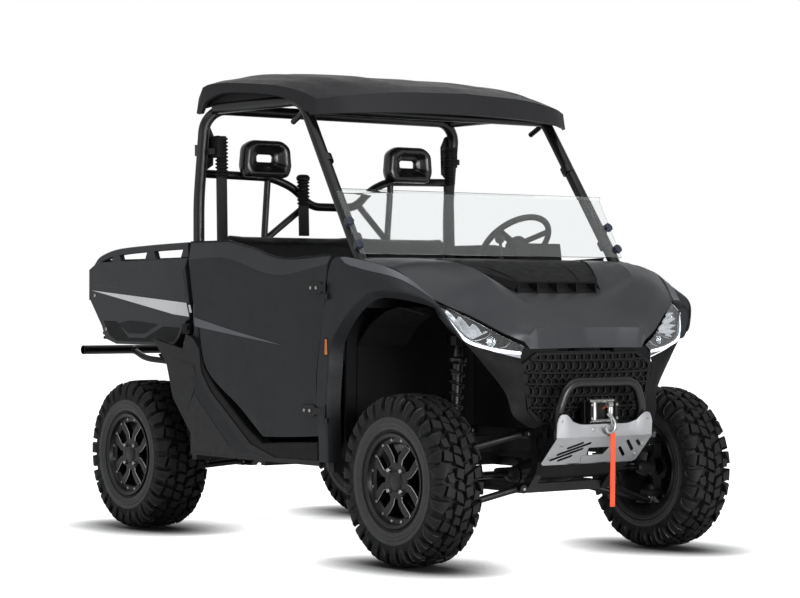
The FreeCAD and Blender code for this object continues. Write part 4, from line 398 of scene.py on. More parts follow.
def insetLoop(loop, reach, facing):
    count = len(loop)
    turn = sum(((loop[(i + 1) % count] - loop[i]).cross(loop[i] - loop[i - 1]).dot(facing)) for i in range(count))
    sign = -1 if turn > 0 else 1
    made = []
    for i, here in enumerate(loop):
        before = (here - loop[i - 1]).normalized()
        after = (loop[(i + 1) % count] - here).normalized()
        sideA, sideB = facing.cross(before) * sign, facing.cross(after) * sign
        middle = (sideA + sideB)
        middle = middle.normalized() if middle.length > 1e-6 else sideA
        made.append(here + middle * min(reach / max(middle.dot(sideA), 0.3), reach * 2.5))
    return made


def roundedCorner(before, here, after, bend, most, steps):
    back, on = before - here, after - here
    reach = min(bend, back.length * most, on.length * most)
    start, end = here + back.normalized() * reach, here + on.normalized() * reach
    return [start * (1 - t) ** 2 + here * 2 * t * (1 - t) + end * t * t for t in (i / steps for i in range(steps + 1))]


def bentPath(points, bend, steps=8):  # an open line with rounded corners
    path = [points[0]]
    for before, here, after in zip(points, points[1:], points[2:]):
        path += roundedCorner(before, here, after, bend, 0.49, steps)
    return path + [points[-1]]


def roundedLoop(points, bendMm, steps=5):  # a closed outline with rounded corners
    made = []
    for i, here in enumerate(points):
        made += roundedCorner(points[i - 1], here, points[(i + 1) % len(points)], bendMm * mm, 0.45, steps)
    return made


def smoothLine(points, steps, sharp=()):  # rounded between its points, with corners kept at the sharp ones
    made = []
    last = len(points) - 1
    for i in range(last):
        a, b = points[i], points[i + 1]
        tangentA = (b - points[i - 1]) * 0.5 if i and i not in sharp else (b - a)
        tangentB = (points[i + 2] - a) * 0.5 if i + 2 <= last and (i + 1) not in sharp else (b - a)
        reach = (b - a).length
        for tangent in (tangentA, tangentB):
            if tangent.length > reach * 1.1:
                tangent *= reach * 1.1 / tangent.length
        for step in range(steps):
            t = step / steps
            made.append(a * (2 * t ** 3 - 3 * t ** 2 + 1) + tangentA * (t ** 3 - 2 * t ** 2 + t)
                        + b * (3 * t ** 2 - 2 * t ** 3) + tangentB * (t ** 3 - t ** 2))
    return made + [points[last]]


def smoothGrid(rows, across=4, along=4, sharpAcross=(), sharpAlong=()):
    wide = [smoothLine(row, across, sharpAcross) for row in rows]
    columns = [smoothLine([row[c] for row in wide], along, sharpAlong) for c in range(len(wide[0]))]
    return [[column[r] for column in columns] for r in range(len(columns[0]))]


def wholeRows(rows):
    return [mirrored(row[:0:-1]) + row for row in rows]


def joinRims(form, front, back, mark=0):  # closes the gap between the edges of two grids
    rows, columns = len(front), len(front[0])
    rim = [(0, c) for c in range(columns)] + [(r, columns - 1) for r in range(1, rows)]
    rim += [(rows - 1, c) for c in range(columns - 2, -1, -1)] + [(r, 0) for r in range(rows - 2, 0, -1)]
    form.sheet([[front[r][c] for r, c in rim], [back[r][c] for r, c in rim]], mark, loopAcross=True)


def thicken(form, points, thickness, mark=0):  # a sheet of points with a back face and a rim
    rows, columns = len(points), len(points[0])
    back = []
    for r in range(rows):
        back.append([])
        for c in range(columns):
            alongRow = points[min(r + 1, rows - 1)][c] - points[max(r - 1, 0)][c]
            acrossRow = points[r][min(c + 1, columns - 1)] - points[r][max(c - 1, 0)]
            n = acrossRow.cross(alongRow)
            n = n.normalized() if n.length > 0 else Vector((0, 0, 1))
            back[r].append(points[r][c] - n * thickness * mm)
    form.sheet(points, mark)
    form.sheet([row[::-1] for row in back], mark)
    joinRims(form, points, back, mark)
    return form


def show(form, name, finishes, bevel=0.0, angle=32, body="chassis", node=None, segments=2):
    piece = form.build(name, finishes, bevel, angle, segments)
    nodes = [node or name.replace(" ", "_")]  # mostly the piece's own name
    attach(piece, body)
    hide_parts(*nodes)
    return piece


# tyres and wheels
tyreSizes = {"pitchCount": 15, "sidewallSteps": 120, "lugSteps": 6, "spread": 1.1, "lineHalf": 1.3}
# half sections from the middle of the tread down the side: (step, share of the width, radius)
lugLine = [(0, 0, 343), (0.4, 0.2, 342), (0.7, 0.34, 339), (0.88, 0.42, 333), (1.0, 0.465, 322), (1.15, 0.492, 306),
           (1.35, 0.499, 284), (1.6, 0.486, 260)]
baseLine = [(0, 0, 316), (0.4, 0.2, 315), (0.7, 0.33, 310), (0.88, 0.4, 301), (1.0, 0.43, 292), (1.15, 0.456, 286),
            (1.35, 0.468, 270), (1.6, 0.472, 252)]
# the lugs of one pitch: how far each lies below the tread line, and its corners as (share of a pitch, step)
lugs = ((0, ((0.00, 0.03), (0.26, 0.10), (0.36, 0.36), (0.10, 0.34))),
        (3, ((0.34, 0.00), (0.56, 0.05), (0.62, 0.26), (0.42, 0.30))),
        (0, ((0.66, 0.10), (0.92, 0.02), (0.98, 0.30), (0.74, 0.36))),
        (0, ((0.16, 0.46), (0.40, 0.42), (0.50, 0.72), (0.22, 0.80))),
        (3, ((0.58, 0.42), (0.86, 0.46), (0.80, 0.74), (0.60, 0.66))),
        (0, ((0.70, 0.84), (1.06, 0.60), (1.05, 1.58), (0.74, 1.26))),
        (2, ((0.16, 0.92), (0.54, 0.80), (0.50, 1.28), (0.30, 1.60))))
shoulderLine = ((0.16, 0.12), (0.16, 0.86), (0.5, 0.94), (0.84, 0.86), (0.84, 0.12))  # shares of a lug
bead = [(0.38, 190), (0.40, 186), (0.43, 192), (0.45, 204), (0.458, 212), (0.466, 214), (0.468, 219), (0.464, 221),
        (0.474, 226), (0.482, 229), (0.482, 234), (0.474, 237), (0.474, 246)]
middleSpot, axle = Vector((0, 0, 0)), (0, 1, 0)


def polar(radius, turn, y=0):  # a spot round the axle
    return Vector((radius * mm * math.cos(turn), y * mm, radius * mm * math.sin(turn)))


def sectionSpot(line, step):
    for (s0, y0, r0), (s1, y1, r1) in zip(line, line[1:]):
        if step <= s1:
            t = (step - s0) / (s1 - s0)
            return y0 + (y1 - y0) * t, r0 + (r1 - r0) * t
    return line[-1][1:]


def treadLug(form, width, side, corners, shift, lower):
    pitch = 2 * math.pi / tyreSizes["pitchCount"]
    middle = sum(turn for turn, step in corners) / 4
    steps = tyreSizes["lugSteps"]

    def spot(line, turn, step, sink):
        share, radius = sectionSpot(line, step)
        return polar(radius - sink, pitch * (turn + shift), side * share * width)

    def between(u, v, k):  # part k of the corners at share u of the lug's length and v of its width
        a, b, c, d = (corner[k] for corner in corners)
        left, right = a + (b - a) * u, d + (c - d) * u
        return left + (right - left) * v

    top, low = [], []
    for i in range(steps + 1):
        row = [(between(u, i / steps, 0), between(u, i / steps, 1)) for u in (0, 0.5, 1)]
        top.append([spot(lugLine, turn, step, lower) for turn, step in row])
        low.append([spot(baseLine, middle + (turn - middle) * tyreSizes["spread"], step, 3) for turn, step in row])
    form.sheet(top)
    joinRims(form, top, low)
    if corners[2][1] > 1.2:  # a raised line round the shoulder lugs, which catches the light
        line = [(between(u, v, 0), between(u, v, 1)) for u, v in shoulderLine]
        path = []
        for (turnA, stepA), (turnB, stepB) in zip(line, line[1:]):
            path += [spot(lugLine, turnA + (turnB - turnA) * k / 4, stepA + (stepB - stepA) * k / 4, lower - 0.4)
                     for k in range(4)]
        path.append(spot(lugLine, *line[-1], lower - 0.4))
        half = tyreSizes["lineHalf"]
        form.swept(path, [(-half, -0.8), (0, 1.0), (half, -0.8)], 1, up=(0, side, 0))


def tyreForm(width):
    form = Form()
    half = [(share * width, radius) for share, radius in bead + [spot[1:] for spot in baseLine[::-1]]]
    loop = [(-y, r) for y, r in half] + half[-2::-1] + [(0.36 * width, 180), (-0.36 * width, 180)]
    ringMarks = [1 if 200 < (r + loop[(i + 1) % len(loop)][1]) / 2 < 256 else 0 for i, (y, r) in enumerate(loop)]
    steps = tyreSizes["sidewallSteps"]
    form.turned(middleSpot, axle, loop, steps, [m for m in ringMarks for _ in range(steps)], closed=True)
    for index in range(tyreSizes["pitchCount"]):
        for side in (-1, 1):
            for lower, corners in lugs:
                treadLug(form, width, side, corners, index + (0.5 if side > 0 else 0), lower)
    return form


wheelSizes = {"spokePairs": 4, "boltCount": 16, "boltRadius": 163, "lugNutRadius": 57, "spokeDepth": 26}
# outlines as (radius, degrees from the middle of a pair)
spokeLoop = ((60, 6), (96, 9), (128, 17), (157, 23), (157, 36), (126, 33), (92, 27), (62, 34))
pocketLoop = ((78, 13.5), (98, 14), (128, 22), (146, 26), (146, 32), (128, 28.5), (98, 22), (80, 24))


def wheelForm(width):
    form = Form()
    face = width / 2 - 32
    low = -0.38 * width
    seat = face - 26.3
    disc = seat - 22
    rimLip = [(low - 4, 178), (low - 6, 186), (low, 190), (low + 8, 186), (low + 12, 178), (low + 40, 172),
              (face - 50, 166), (face - 20, 172), (face - 8, 178), (face + 8, 184), (face + 14, 189), (face + 19, 189),
              (face + 20, 184), (face + 15, 174), (face + 4, 171), (face - 3, 168), (face - 5, 152), (face - 12, 146),
              (face - 40, 146), (low + 30, 156), (low, 168)]
    lipLine = [(face + 19.2, 188.2), (face + 20.4, 185.6), (face + 19.4, 183.6), (face + 18.6, 186)]
    hubRing = [(face - 24, 74), (face - 4, 74), (face + 1, 70), (face + 1, 42), (face - 3, 40), (face - 24, 40)]
    hubCap = [(face - 26, 41), (face + 1, 41), (face + 5, 38), (face + 8, 30), (face + 9, 12), (face + 9, pin)]
    capLine = [(face + 7.4, 33), (face + 8.8, 31), (face + 8.4, 29), (face + 7, 31)]
    for profile, sides, closed in ((rimLip, 96, True), (lipLine, 96, True), (hubRing, 64, True), (hubCap, 48, False),
                                   (capLine, 48, True)):
        form.turned(middleSpot, axle, profile, sides, closed=closed)
    for index in range(wheelSizes["spokePairs"]):
        base = 2 * math.pi * index / wheelSizes["spokePairs"]
        depth = wheelSizes["spokeDepth"]
        for side in (-1, 1):
            for loop, start, high, inset, edgeMark in ((spokeLoop, face - depth, depth, 1.5, 1),
                                                       (pocketLoop, face - 1.5, 2.4, 1.2, None)):
                corners = [polar(radius, base + side * math.radians(degrees), start) for radius, degrees in loop]
                form.plate(corners, at(0, high, 0), 0, inset, edgeMark)
        nut = polar(wheelSizes["lugNutRadius"], 2 * math.pi * (index + 0.5) / wheelSizes["spokePairs"], face - 2)
        form.turned(nut, axle, [(0, 12), (2, 12), (2, 10), (12, 10), (15, 8), (15, pin)], 6, 2)
    for index in range(wheelSizes["boltCount"]):
        spot = polar(wheelSizes["boltRadius"], 2 * math.pi * (index + 0.5) / wheelSizes["boltCount"], face - 6)
        form.turned(spot, axle, [(0, 6.5), (4.5, 6.5), (6, 5), (6, pin)], 12, 2)
    form.turned(middleSpot, axle, [(seat - 84, pin), (seat - 84, 34), (disc, 35), (disc, 60), (seat, 62), (seat, pin)],
                48, 3)
    form.turned(middleSpot, axle, [(disc, 62), (disc, 118), (disc + 5, 118), (disc + 5, 62)], 72, 3, closed=True)
    return form


wheelPlaces = (("front", 1155, 662.5, 225), ("rear", -915, 642.5, 265))
for end, x, y, width in wheelPlaces:
    dressing = ((tyreForm(width), "tyre", [tyreRubber, sideRubber], "tyre_rubber", 0),
                (wheelForm(width), "wheel", [wheelBlack, machined, zincSteel, darkSteel], "wheel_alloy", 0.8))
    for sideName, side in (("left", 1), ("right", -1)):
        centre = at(x, side * y, 343)
        for source, kind, finishes, slotName, bevel in dressing:
            form = Form().join(source) if side > 0 else source.flipped()
            form.verts = [v + centre for v in form.verts]
            show(form, f"{end} {sideName} {kind}", finishes, bevel, 28, body=f"{end}_{sideName}_wheel")
print("stage: wheels made")

# suspension: arms, shocks, shafts
armSizes = {"tube": 14, "eye": 18, "innerY": 235.5, "coilWire": 6.5, "coilRadius": 33, "coilTurns": 9}
# per end: place along the vehicle, outer end of the arms, heights of the upper and lower outer ends, tips
armPlaces = ((1155, 600, 427.7, 203.7), (-915, 650.4, 427, 259))
upperArm, lowerArm = (520, 180, 26), (298, 150, 14)  # inner height, half spread of the inner eyes and of the tip
shockLines = (((1134, 415, 868), (1118, 438, 290)), ((-894, 400, 778), (-878, 430, 290)))  # top and foot


def armForm(form, x, outerY, outerZ, innerZ, eyeReach, tip):
    tipY = outerY - 28
    for side in (-1, 1):
        start = at(x + side * eyeReach, armSizes["innerY"], innerZ)
        bend = at(x + side * (eyeReach * 0.86 + tip * 0.14), 262, innerZ + (outerZ - innerZ) * 0.07)
        form.tube([start, bend, at(x + side * tip, tipY, outerZ)], armSizes["tube"], 30, 18)
        form.rod(start - at(28, 0, 0), start + at(28, 0, 0), armSizes["eye"], 24)
        form.rod(start - at(31, 0, 0), start + at(31, 0, 0), 7, 6, 1)
    form.block((x - tip - 12, tipY - 26, outerZ - 11), (x + tip + 12, tipY + 14, outerZ + 11))


arms = Form()
for x, outerY, upZ, lowZ in armPlaces:
    armForm(arms, x, outerY, upZ, *upperArm)
    armForm(arms, x, outerY, lowZ, *lowerArm)
frontEnd, rearEnd = armPlaces
for z in frontEnd[2:]:  # ball joints
    arms.turned(at(frontEnd[0], frontEnd[1], z - 15), (0, 0, 1), [(0, 13), (2, 16), (28, 16), (30, 13)], 28, 1)
for z in rearEnd[2:]:
    arms.block((rearEnd[0] - 14, rearEnd[1] - 30, z - 13), (rearEnd[0] + 14, rearEnd[1], z + 13))
for (top, foot), (x, outerY, upZ, lowZ) in zip(shockLines, armPlaces):  # cross plates that carry the shocks
    axis = (at(*top) - at(*foot)).normalized()
    share = (foot[1] - 235) / (outerY - 28 - 235)
    innerZ, eyeReach, tipReach = lowerArm
    reach = eyeReach + (tipReach - eyeReach) * share
    z = innerZ + (lowZ - innerZ) * share
    arms.block((x - reach, foot[1] - 12, z - 8), (x + reach, foot[1] + 12, z + 8))
    arms.rod(at(*foot) - axis * 47 * mm, at(*foot) - axis * 1 * mm, 13, 20)
show(arms.both(), "suspension arms", [frameCoat, zincSteel], 0.8)

springs = Form()
for top, foot in shockLines:
    low, high = at(*foot), at(*top)
    axis = (high - low).normalized()
    length = (high - low).length / mm
    seat = length * 0.2
    springs.turned(low, axis, [(0, 15), (8, 17), (16, 17), (18, 12), (seat, 11), (seat, 34), (seat + 6, 36),
                               (seat + 9, 30), (seat + 9, 12), (length * 0.5, 12)], 32, 0)
    sleeve = [(0, 12), (2, 21), (length * 0.4, 21), (length * 0.42, 36), (length * 0.44, 36), (length * 0.45, 20),
              (length * 0.5, 18), (length * 0.515, 15), (length * 0.52, 14)]
    springs.turned(low + axis * length * 0.48 * mm, axis, sleeve, 32, 1)
    springs.turned(low + axis * length * 0.8 * mm, axis, [(0, 24), (1, 27), (10, 27), (11, 24)], 32, 2)
    coil = []
    start, end = length * 0.215, length * 0.9
    first = axis.orthogonal().normalized()
    second = axis.cross(first)
    steps = armSizes["coilTurns"] * 22
    for i in range(steps + 1):
        turn = 2 * math.pi * armSizes["coilTurns"] * i / steps
        out = (first * math.cos(turn) + second * math.sin(turn)) * (armSizes["coilRadius"] - armSizes["coilWire"]) * mm
        coil.append(low + axis * (start + (end - start) * i / steps) * mm + out)
    springs.swept(coil, circle(armSizes["coilWire"], 10), 2, up=axis)
show(springs.both(), "shocks", [darkSteel, cageCoat, darkSteel], 0.5)

shafts = Form()
for x, jointY, endY, reach in ((1155, 600, 624, 24), (-915, 596, 632, 36)):
    shafts.rod(at(x, 130.5, 343), at(x, endY, 343), 13, 24)
    folds = []
    for i in range(7):
        size = 1 - 0.1 * abs(i - 2)
        folds += [(-62 + i * 10 + 2, 22 * size), (-62 + i * 10 + 7, 33 * size)]
    outerBoot = [(-66, 14), (-64, 16)] + folds + [(min(10, reach - 10), 34), (reach - 6, 26), (reach, 13)]
    innerBoot = [(0, 26), (8, 34), (14, 35), (20, 28), (26, 32), (32, 24), (38, 27), (44, 19), (50, 15)]
    shafts.turned(at(x, jointY, 343), axle, outerBoot, 32, 1)
    shafts.turned(at(x, 131, 343), axle, innerBoot, 32, 1)
show(shafts.both(), "half shafts", [darkSteel, ringRubber], 0.5)
print("stage: suspension made")

# CAD pieces kept as they are, each with its finish
keptPieces = {"frame_front": frameCoat, "frame_rear": frameCoat, "frame_floor": frameCoat, "floor_tub": linerPlastic,
              "radiator": radiatorCore, "engine_block": castMetal, "gearcases": castMetal, "wheel_liners": linerPlastic,
              "left_knuckle": castMetal, "right_knuckle": castMetal, "rear_carriers": castMetal, "tie_rods": zincSteel,
              "hitch_receiver": frameCoat}
for nodeName, material in keptPieces.items():
    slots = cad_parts[nodeName].data.materials
    slots.clear()
    slots.append(material)


# hood: rows from the screen to the nose, each from the middle to the side
hoodSizes = {"skin": 9, "acrossSteps": 8, "alongSteps": 6}
hoodRows = grid([
    [(900, 0, 1224), (900, 400, 1224), (899, 470, 1227), (894, 600, 1226), (890, 718, 1221)],
    [(991, 0, 1208), (991, 390, 1210), (1006, 470, 1220), (1006, 600, 1214), (1000, 706, 1196)],
    [(1149, 0, 1142), (1149, 300, 1144), (1149, 443, 1207), (1136, 580, 1195), (1114, 690, 1166)],
    [(1263, 0, 1080), (1263, 222, 1082), (1280, 390, 1152), (1280, 520, 1118), (1262, 636, 1060)],
    [(1346, 0, 1016), (1344, 180, 1016), (1348, 330, 1024), (1352, 420, 1012), (1346, 508, 990)],
    [(1390, 0, 976), (1394, 175, 976), (1402, 300, 970), (1406, 350, 952), (1404, 400, 926)],
    [(1424, 0, 945), (1442, 170, 945), (1461, 280, 944), (1452, 302, 918), (1436, 320, 890)],
    [(1440, 0, 864), (1446, 170, 863), (1452, 262, 862), (1449, 280, 862), (1444, 296, 862)]])
hoodPoints = smoothGrid(hoodRows, hoodSizes["acrossSteps"], hoodSizes["alongSteps"], (1, 2), (6,))
show(thicken(Form(), wholeRows(hoodPoints), -hoodSizes["skin"]), "hood", [bodyPaint], 1.2, 24)

# black panel in the hood with four outlets
scoopSizes = {"skin": 5, "ventCount": 4, "ventHalf": 208, "barHalf": 4}
scoop = Form()
panelRows = grid([
    [(948, 0, 1222), (948, 388, 1223)],
    [(991, 0, 1214), (991, 384, 1216)],
    [(1080, 0, 1184), (1080, 340, 1186)],
    [(1149, 0, 1158), (1149, 296, 1160)],
    [(1212, 0, 1132), (1212, 250, 1134)]])
thicken(scoop, wholeRows(smoothGrid(panelRows, 10, 4)), -scoopSizes["skin"])
for side in (-1, 1):  # a fine raised line down each side of the panel, and the wall beside it
    ribRow = smoothLine([at(962, side * 250, 1219.5), at(1080, side * 214, 1186), at(1149, side * 188, 1160.5),
                         at(1205, side * 166, 1136)], 6)
    scoop.swept(ribRow, [(-2, -2), (-1.4, 1.6), (1.4, 1.6), (2, -2)], 0, up=(0, 0, 1))
    wall = smoothLine([at(960, side * 386, 1222), at(1000, side * 384, 1214), at(1080, side * 342, 1188),
                       at(1149, side * 298, 1164), at(1216, side * 236, 1138), at(1262, side * 214, 1124)], 4)
    thicken(scoop, [[p + at(0, 0, 4) for p in wall], [p + at(4, side * 16, -26) for p in wall]], 4 * side)
ventWidth = 2 * scoopSizes["ventHalf"] / scoopSizes["ventCount"]
for index in range(scoopSizes["ventCount"]):
    left = -scoopSizes["ventHalf"] + index * ventWidth
    for middle in (left, left + ventWidth):
        low, high = middle - scoopSizes["barHalf"], middle + scoopSizes["barHalf"]
        corners = [at(x, y, z) for zFront, zBack in ((1137, 1126), (1088, 1082))
                   for x, y, z in ((1206, low, zFront), (1206, high, zFront), (1262, high, zBack), (1262, low, zBack))]
        scoop.add(corners, [(0, 3, 2, 1), (4, 5, 6, 7), (0, 1, 5, 4), (1, 2, 6, 5), (2, 3, 7, 6), (3, 0, 4, 7)])
ventRim = [at(1208, -222, 1133), at(1256, -214, 1128), at(1266, 0, 1128), at(1256, 214, 1128), at(1208, 222, 1133)]
scoop.swept(smoothLine(ventRim, 8, (1, 3)), [(-5, -4), (-5, 3), (3, 5), (5, -3)], 0, up=(0, 0, 1))
scoop.add([at(1214, -206, 1084), at(1214, 206, 1084), at(1208, 206, 1134), at(1208, -206, 1134)], [(0, 1, 2, 3)])
scoop.plate(facingY(-206, ((1212, 1112), (1259, 1087), (1259, 1080), (1212, 1104))), at(0, 412, 0))  # dark duct floor
show(scoop, "hood scoop", [linerPlastic], 0.8)

# fenders with a rolled arch edge
fenderSizes = {"skin": 5, "acrossSteps": 7, "alongSteps": 6}
fenderRows = grid([
    [(650, 756, 391), (682, 758, 391), (713, 760, 391), (716, 700, 391)],
    [(646, 756, 470), (676, 758, 470), (712, 760, 470), (716, 700, 470)],
    [(634, 756, 620), (668, 758, 622), (703, 760, 626), (712, 700, 626)],
    [(634, 756, 754), (676, 758, 756), (716, 760, 760), (726, 700, 764)],
    [(660, 756, 900), (700, 758, 900), (742, 760, 893), (752, 704, 888)],
    [(692, 754, 1050), (770, 758, 1042), (862, 758, 1013), (868, 716, 996)],
    [(724, 744, 1217), (850, 750, 1150), (975, 756, 1080), (982, 716, 1058)],
    [(890, 719, 1214), (960, 740, 1150), (1036, 752, 1094), (1040, 700, 1068)],
    [(1114, 691, 1159), (1150, 714, 1124), (1190, 734, 1088), (1186, 676, 1052)],
    [(1262, 637, 1053), (1290, 660, 1050), (1322, 680, 1040), (1302, 634, 1016)],
    [(1276, 640, 1032), (1328, 658, 1000), (1372, 630, 950), (1354, 600, 942)],
    [(1330, 656, 990), (1352, 632, 950), (1384, 592, 902), (1372, 570, 894)]])
fender = Form()
fenderPoints = smoothGrid(fenderRows, fenderSizes["acrossSteps"], fenderSizes["alongSteps"], (1, 2))
thicken(fender, fenderPoints, fenderSizes["skin"])
lip = [row[2 * fenderSizes["acrossSteps"]] for row in fenderPoints]  # raised bead along the arch
fender.swept([p + at(0, 0.6, 0) for p in lip[6:-3]], [(-5, -4), (-4, 2), (3, 2.4), (5, -4)], 0, up=(0, 1, 0))
show(fender.both(), "fenders", [doorPaint], 0.8, 26)


def spotOn(points, row, column):  # a spot between the points of a grid
    r, c = min(int(row), len(points) - 2), min(int(column), len(points[0]) - 2)
    high, low = (points[i][c].lerp(points[i][c + 1], column - c) for i in (r, r + 1))
    return high.lerp(low, row - r)


def onFender(place, share):  # in rows and columns of the fender's table
    return spotOn(fenderPoints, place * fenderSizes["alongSteps"], share * fenderSizes["acrossSteps"])


insert = Form()
insertSizes = {"steps": 6, "skin": 3}
# where the strip lies on the fender: (row, share of the width where it starts, and where it ends)
insertSpan = ((6.3, 0.1, 0.4), (6.42, 0.04, 0.56), (7, 0.03, 0.66), (7.5, 0.03, 0.74), (8, 0.03, 0.8),
              (8.5, 0.04, 0.84), (9, 0.06, 0.8), (9.4, 0.16, 0.5))
insertRows = []
for startSpan, endSpan in zip(insertSpan, insertSpan[1:]):
    for step in range(insertSizes["steps"]):
        place, near, far = (a + (b - a) * (step / insertSizes["steps"]) for a, b in zip(startSpan, endSpan))
        insertRows.append([onFender(place, near + (far - near) * k / 5) + at(1.5, 2.5, 3.5) for k in range(6)])
thicken(insert, insertRows, insertSizes["skin"])
show(insert.both(), "fender inserts", [insertPaint], 0.6)
print("stage: hood and fenders made")

# headlamps: clear lens, dark housing, facets, two reflectors, two dividers and the lit strip
lampSizes = {"lensThickness": 3, "guideSkin": 3, "bezelSkin": 2, "facetColumns": 7, "facetRows": 5}
lampDepth = at(46, 14, 8)
lens = Form()
lensPoints = smoothGrid(grid([
    [(1270, 626, 1042), (1350, 508, 974), (1408, 400, 910), (1440, 322, 872)],
    [(1318, 637, 1000), (1362, 596, 930), (1400, 500, 878), (1448, 346, 846)]]), 6, 8)
thicken(lens, lensPoints, lampSizes["lensThickness"])
housing = [[p - lampDepth for p in row] for row in lensPoints]
lens.sheet(housing, 1)
joinRims(lens, [[p - at(4, 1, 1) for p in row] for row in lensPoints], housing, 1)


def inLamp(across, down, depth):  # shares of the lamp's length, height and depth
    return spotOn(lensPoints, down * (len(lensPoints) - 1), across * (len(lensPoints[0]) - 1)) - lampDepth * depth


facets = [[inLamp(0.09 + 0.072 * i, 0.14 + 0.18 * j, 0.2 + 0.42 * ((i + j) % 2))
           for i in range(lampSizes["facetColumns"])]
          for j in range(lampSizes["facetRows"])]
lens.sheet(facets, 2)
for across, radius in ((0.66, 17), (0.16, 9)):
    aim = Vector((1, 0.35, 0.12))
    spot = inLamp(across, 0.5, 0.62)
    bowl = [(-12, radius * 0.6), (-2, radius * 0.92), (6, radius), (8, radius + 2.5), (5, radius + 3),
            (-10, radius * 0.7)]
    lens.turned(spot, aim, bowl, 36, 2)
    lens.turned(spot, aim, [(-8, pin), (-7, radius * 0.6), (0, radius * 0.66), (5, radius * 0.45), (7.5, pin)], 30, 3)
for across in (0.545, 0.8):
    divider = [inLamp(across + 0.03 * math.sin(math.pi * k / 6), 0.08 + 0.14 * k, 0.4) for k in range(7)]
    lens.swept(divider, [(-1.5, -4), (-1.5, 4), (1.5, 4), (1.5, -4)], 4, up=(1, 0, 0))
show(lens.both(), "headlamps", [lampClear, linerPlastic, chrome, lampClear, machined], 0.3)
strip = Form()
tops, feet = (smoothLine(row, 10) for row in grid([
    [(1317, 613, 1006), (1378, 548, 922), (1411, 462, 882), (1447, 346, 866)],
    [(1322, 634, 1002), (1374, 575, 897), (1410, 470, 857), (1448, 346, 826)]]))
guide, bezel = [], []
for i, (top, foot) in enumerate(zip(tops, feet)):  # the strip turns up and widens at its inner end
    share = i / (len(tops) - 1)
    high = 0.42 + 0.12 * share + 0.2 * max(0, share - 0.6) - 0.14 * (1 - share)
    low = 0.02 + 0.34 * max(0, share - 0.72) / 0.28
    guide.append([foot.lerp(top, low + (high - low) * k / 3) for k in range(4)])
    bezel.append([foot + at(-5, -1, -1), foot.lerp(top, 0.62) + at(-5, -1, 0)])
thicken(strip, guide, lampSizes["guideSkin"])
thicken(strip, bezel, lampSizes["bezelSkin"], 1)
show(strip.both(), "lamp strips", [lightGuide, insertPaint], 0.4)

# grille: a hexagon mesh between bars, its frame and the duct behind it
grilleSizes = {"cell": 22, "cellWall": 5, "meshDepth": 9, "frameDepth": 11, "frameShare": 0.94}
grille = Form()
outlineHalf = [(272, 846), (346, 800), (314, 613), (250, 560)]
outline = outlineHalf + [(-y, z) for y, z in outlineHalf[::-1]]


def halfWidthAt(z):
    for (y0, z0), (y1, z1) in zip(outlineHalf, outlineHalf[1:]):
        if z1 <= z <= z0:
            return y0 + (y1 - y0) * (z0 - z) / (z0 - z1)
    return 0


outer = facingX(1452, outline)
centre = sum(outer, Vector()) / len(outer)
inner = [centre + (p - centre) * grilleSizes["frameShare"] for p in outer]
back, innerBack = ([p - at(grilleSizes["frameDepth"], 0, 0) for p in loop] for loop in (outer, inner))
for ringA, ringB in ((outer, inner), (inner, innerBack), (back, outer), (innerBack, back)):
    grille.sheet([ringA, ringB], 0, loopAcross=True)
pitchY, pitchZ = grilleSizes["cell"] * 1.732, grilleSizes["cell"] * 1.5
row, z = 0, 826
while z > 575:
    reach = halfWidthAt(z) - 16
    count = int(2 * reach / pitchY)
    for index in range(-count, count + 1):
        y = (index + (0.5 if row % 2 else 0)) * pitchY
        if abs(y) > reach:
            continue
        turns = [math.radians(60 * corner + 30) for corner in range(6)]
        rings = [[at(x, y + size * math.cos(turn), z + size * math.sin(turn)) for turn in turns]
                 for x, size in ((1450, grilleSizes["cell"] + 0.2),
                                 (1448, grilleSizes["cell"] - grilleSizes["cellWall"]))]
        grille.sheet(rings + [[p - at(grilleSizes["meshDepth"], 0, 0) for p in rings[1]]], 0, loopAcross=True)
    z -= pitchZ
    row += 1
for z in (819, 769, 724, 676, 630):
    half = halfWidthAt(z) - 8
    line = [at(1455, -half, z), at(1459, -half * 0.6, z - 4), at(1460, 0, z - 5), at(1459, half * 0.6, z - 4),
            at(1455, half, z)]
    grille.swept(line, [(-7, -4), (-7, 4), (4, 4.5), (6, 2), (6, -2), (4, -4.5)], 0, up=(0, 0, 1))
# the duct is a solid dark sheet that closes the view through the mesh, standing in for the shade inside it
grille.plate(facingX(1438, outline), at(-3, 0, 0), 1)  # dark duct behind the mesh
show(grille, "grille", [trimPlastic, linerPlastic], 0.5)

fascia = Form()
fasciaRows = grid([
    [(1446, 347.5, 822), (1408, 470, 852.6), (1373, 574, 892)],
    [(1454, 346.6, 800), (1424, 440, 796), (1392, 506, 816)],
    [(1452, 329.4, 700), (1436, 372, 694), (1420, 406, 692)],
    [(1449, 314.6, 613), (1446, 350, 606), (1440, 380, 600)],
    [(1462, 252, 558), (1478, 300, 552), (1480, 330, 560)]])
thicken(fascia, smoothGrid(fasciaRows, 6, 6), -5)
# closes the corner over the mesh
fascia.plate(facingX(1434, ((150, 868), (352, 868), (352, 792), (238, 842), (150, 842))), at(3, 0, 0))
show(fascia.both(), "fascia", [linerPlastic], 0.8)

# bull bar, skid plate and winch gear
bar = Form()
footY = 202
barHalf = [at(1490, footY, 500), at(1490, footY, 540), at(1526, 224, 606), at(1537, 180, 728)]
bar.tube(barHalf + mirrored(barHalf[::-1]), 19, 60, 28)
for side in (-1, 1):
    bar.block((1478, side * footY - 22, 502), (1486, side * footY + 22, 560), 0)
    bar.rod(at(1484, side * footY, 548), at(1514, side * footY, 548), 8, 6, 1)
show(bar, "bull bar", [cageCoat, zincSteel], 1.0)

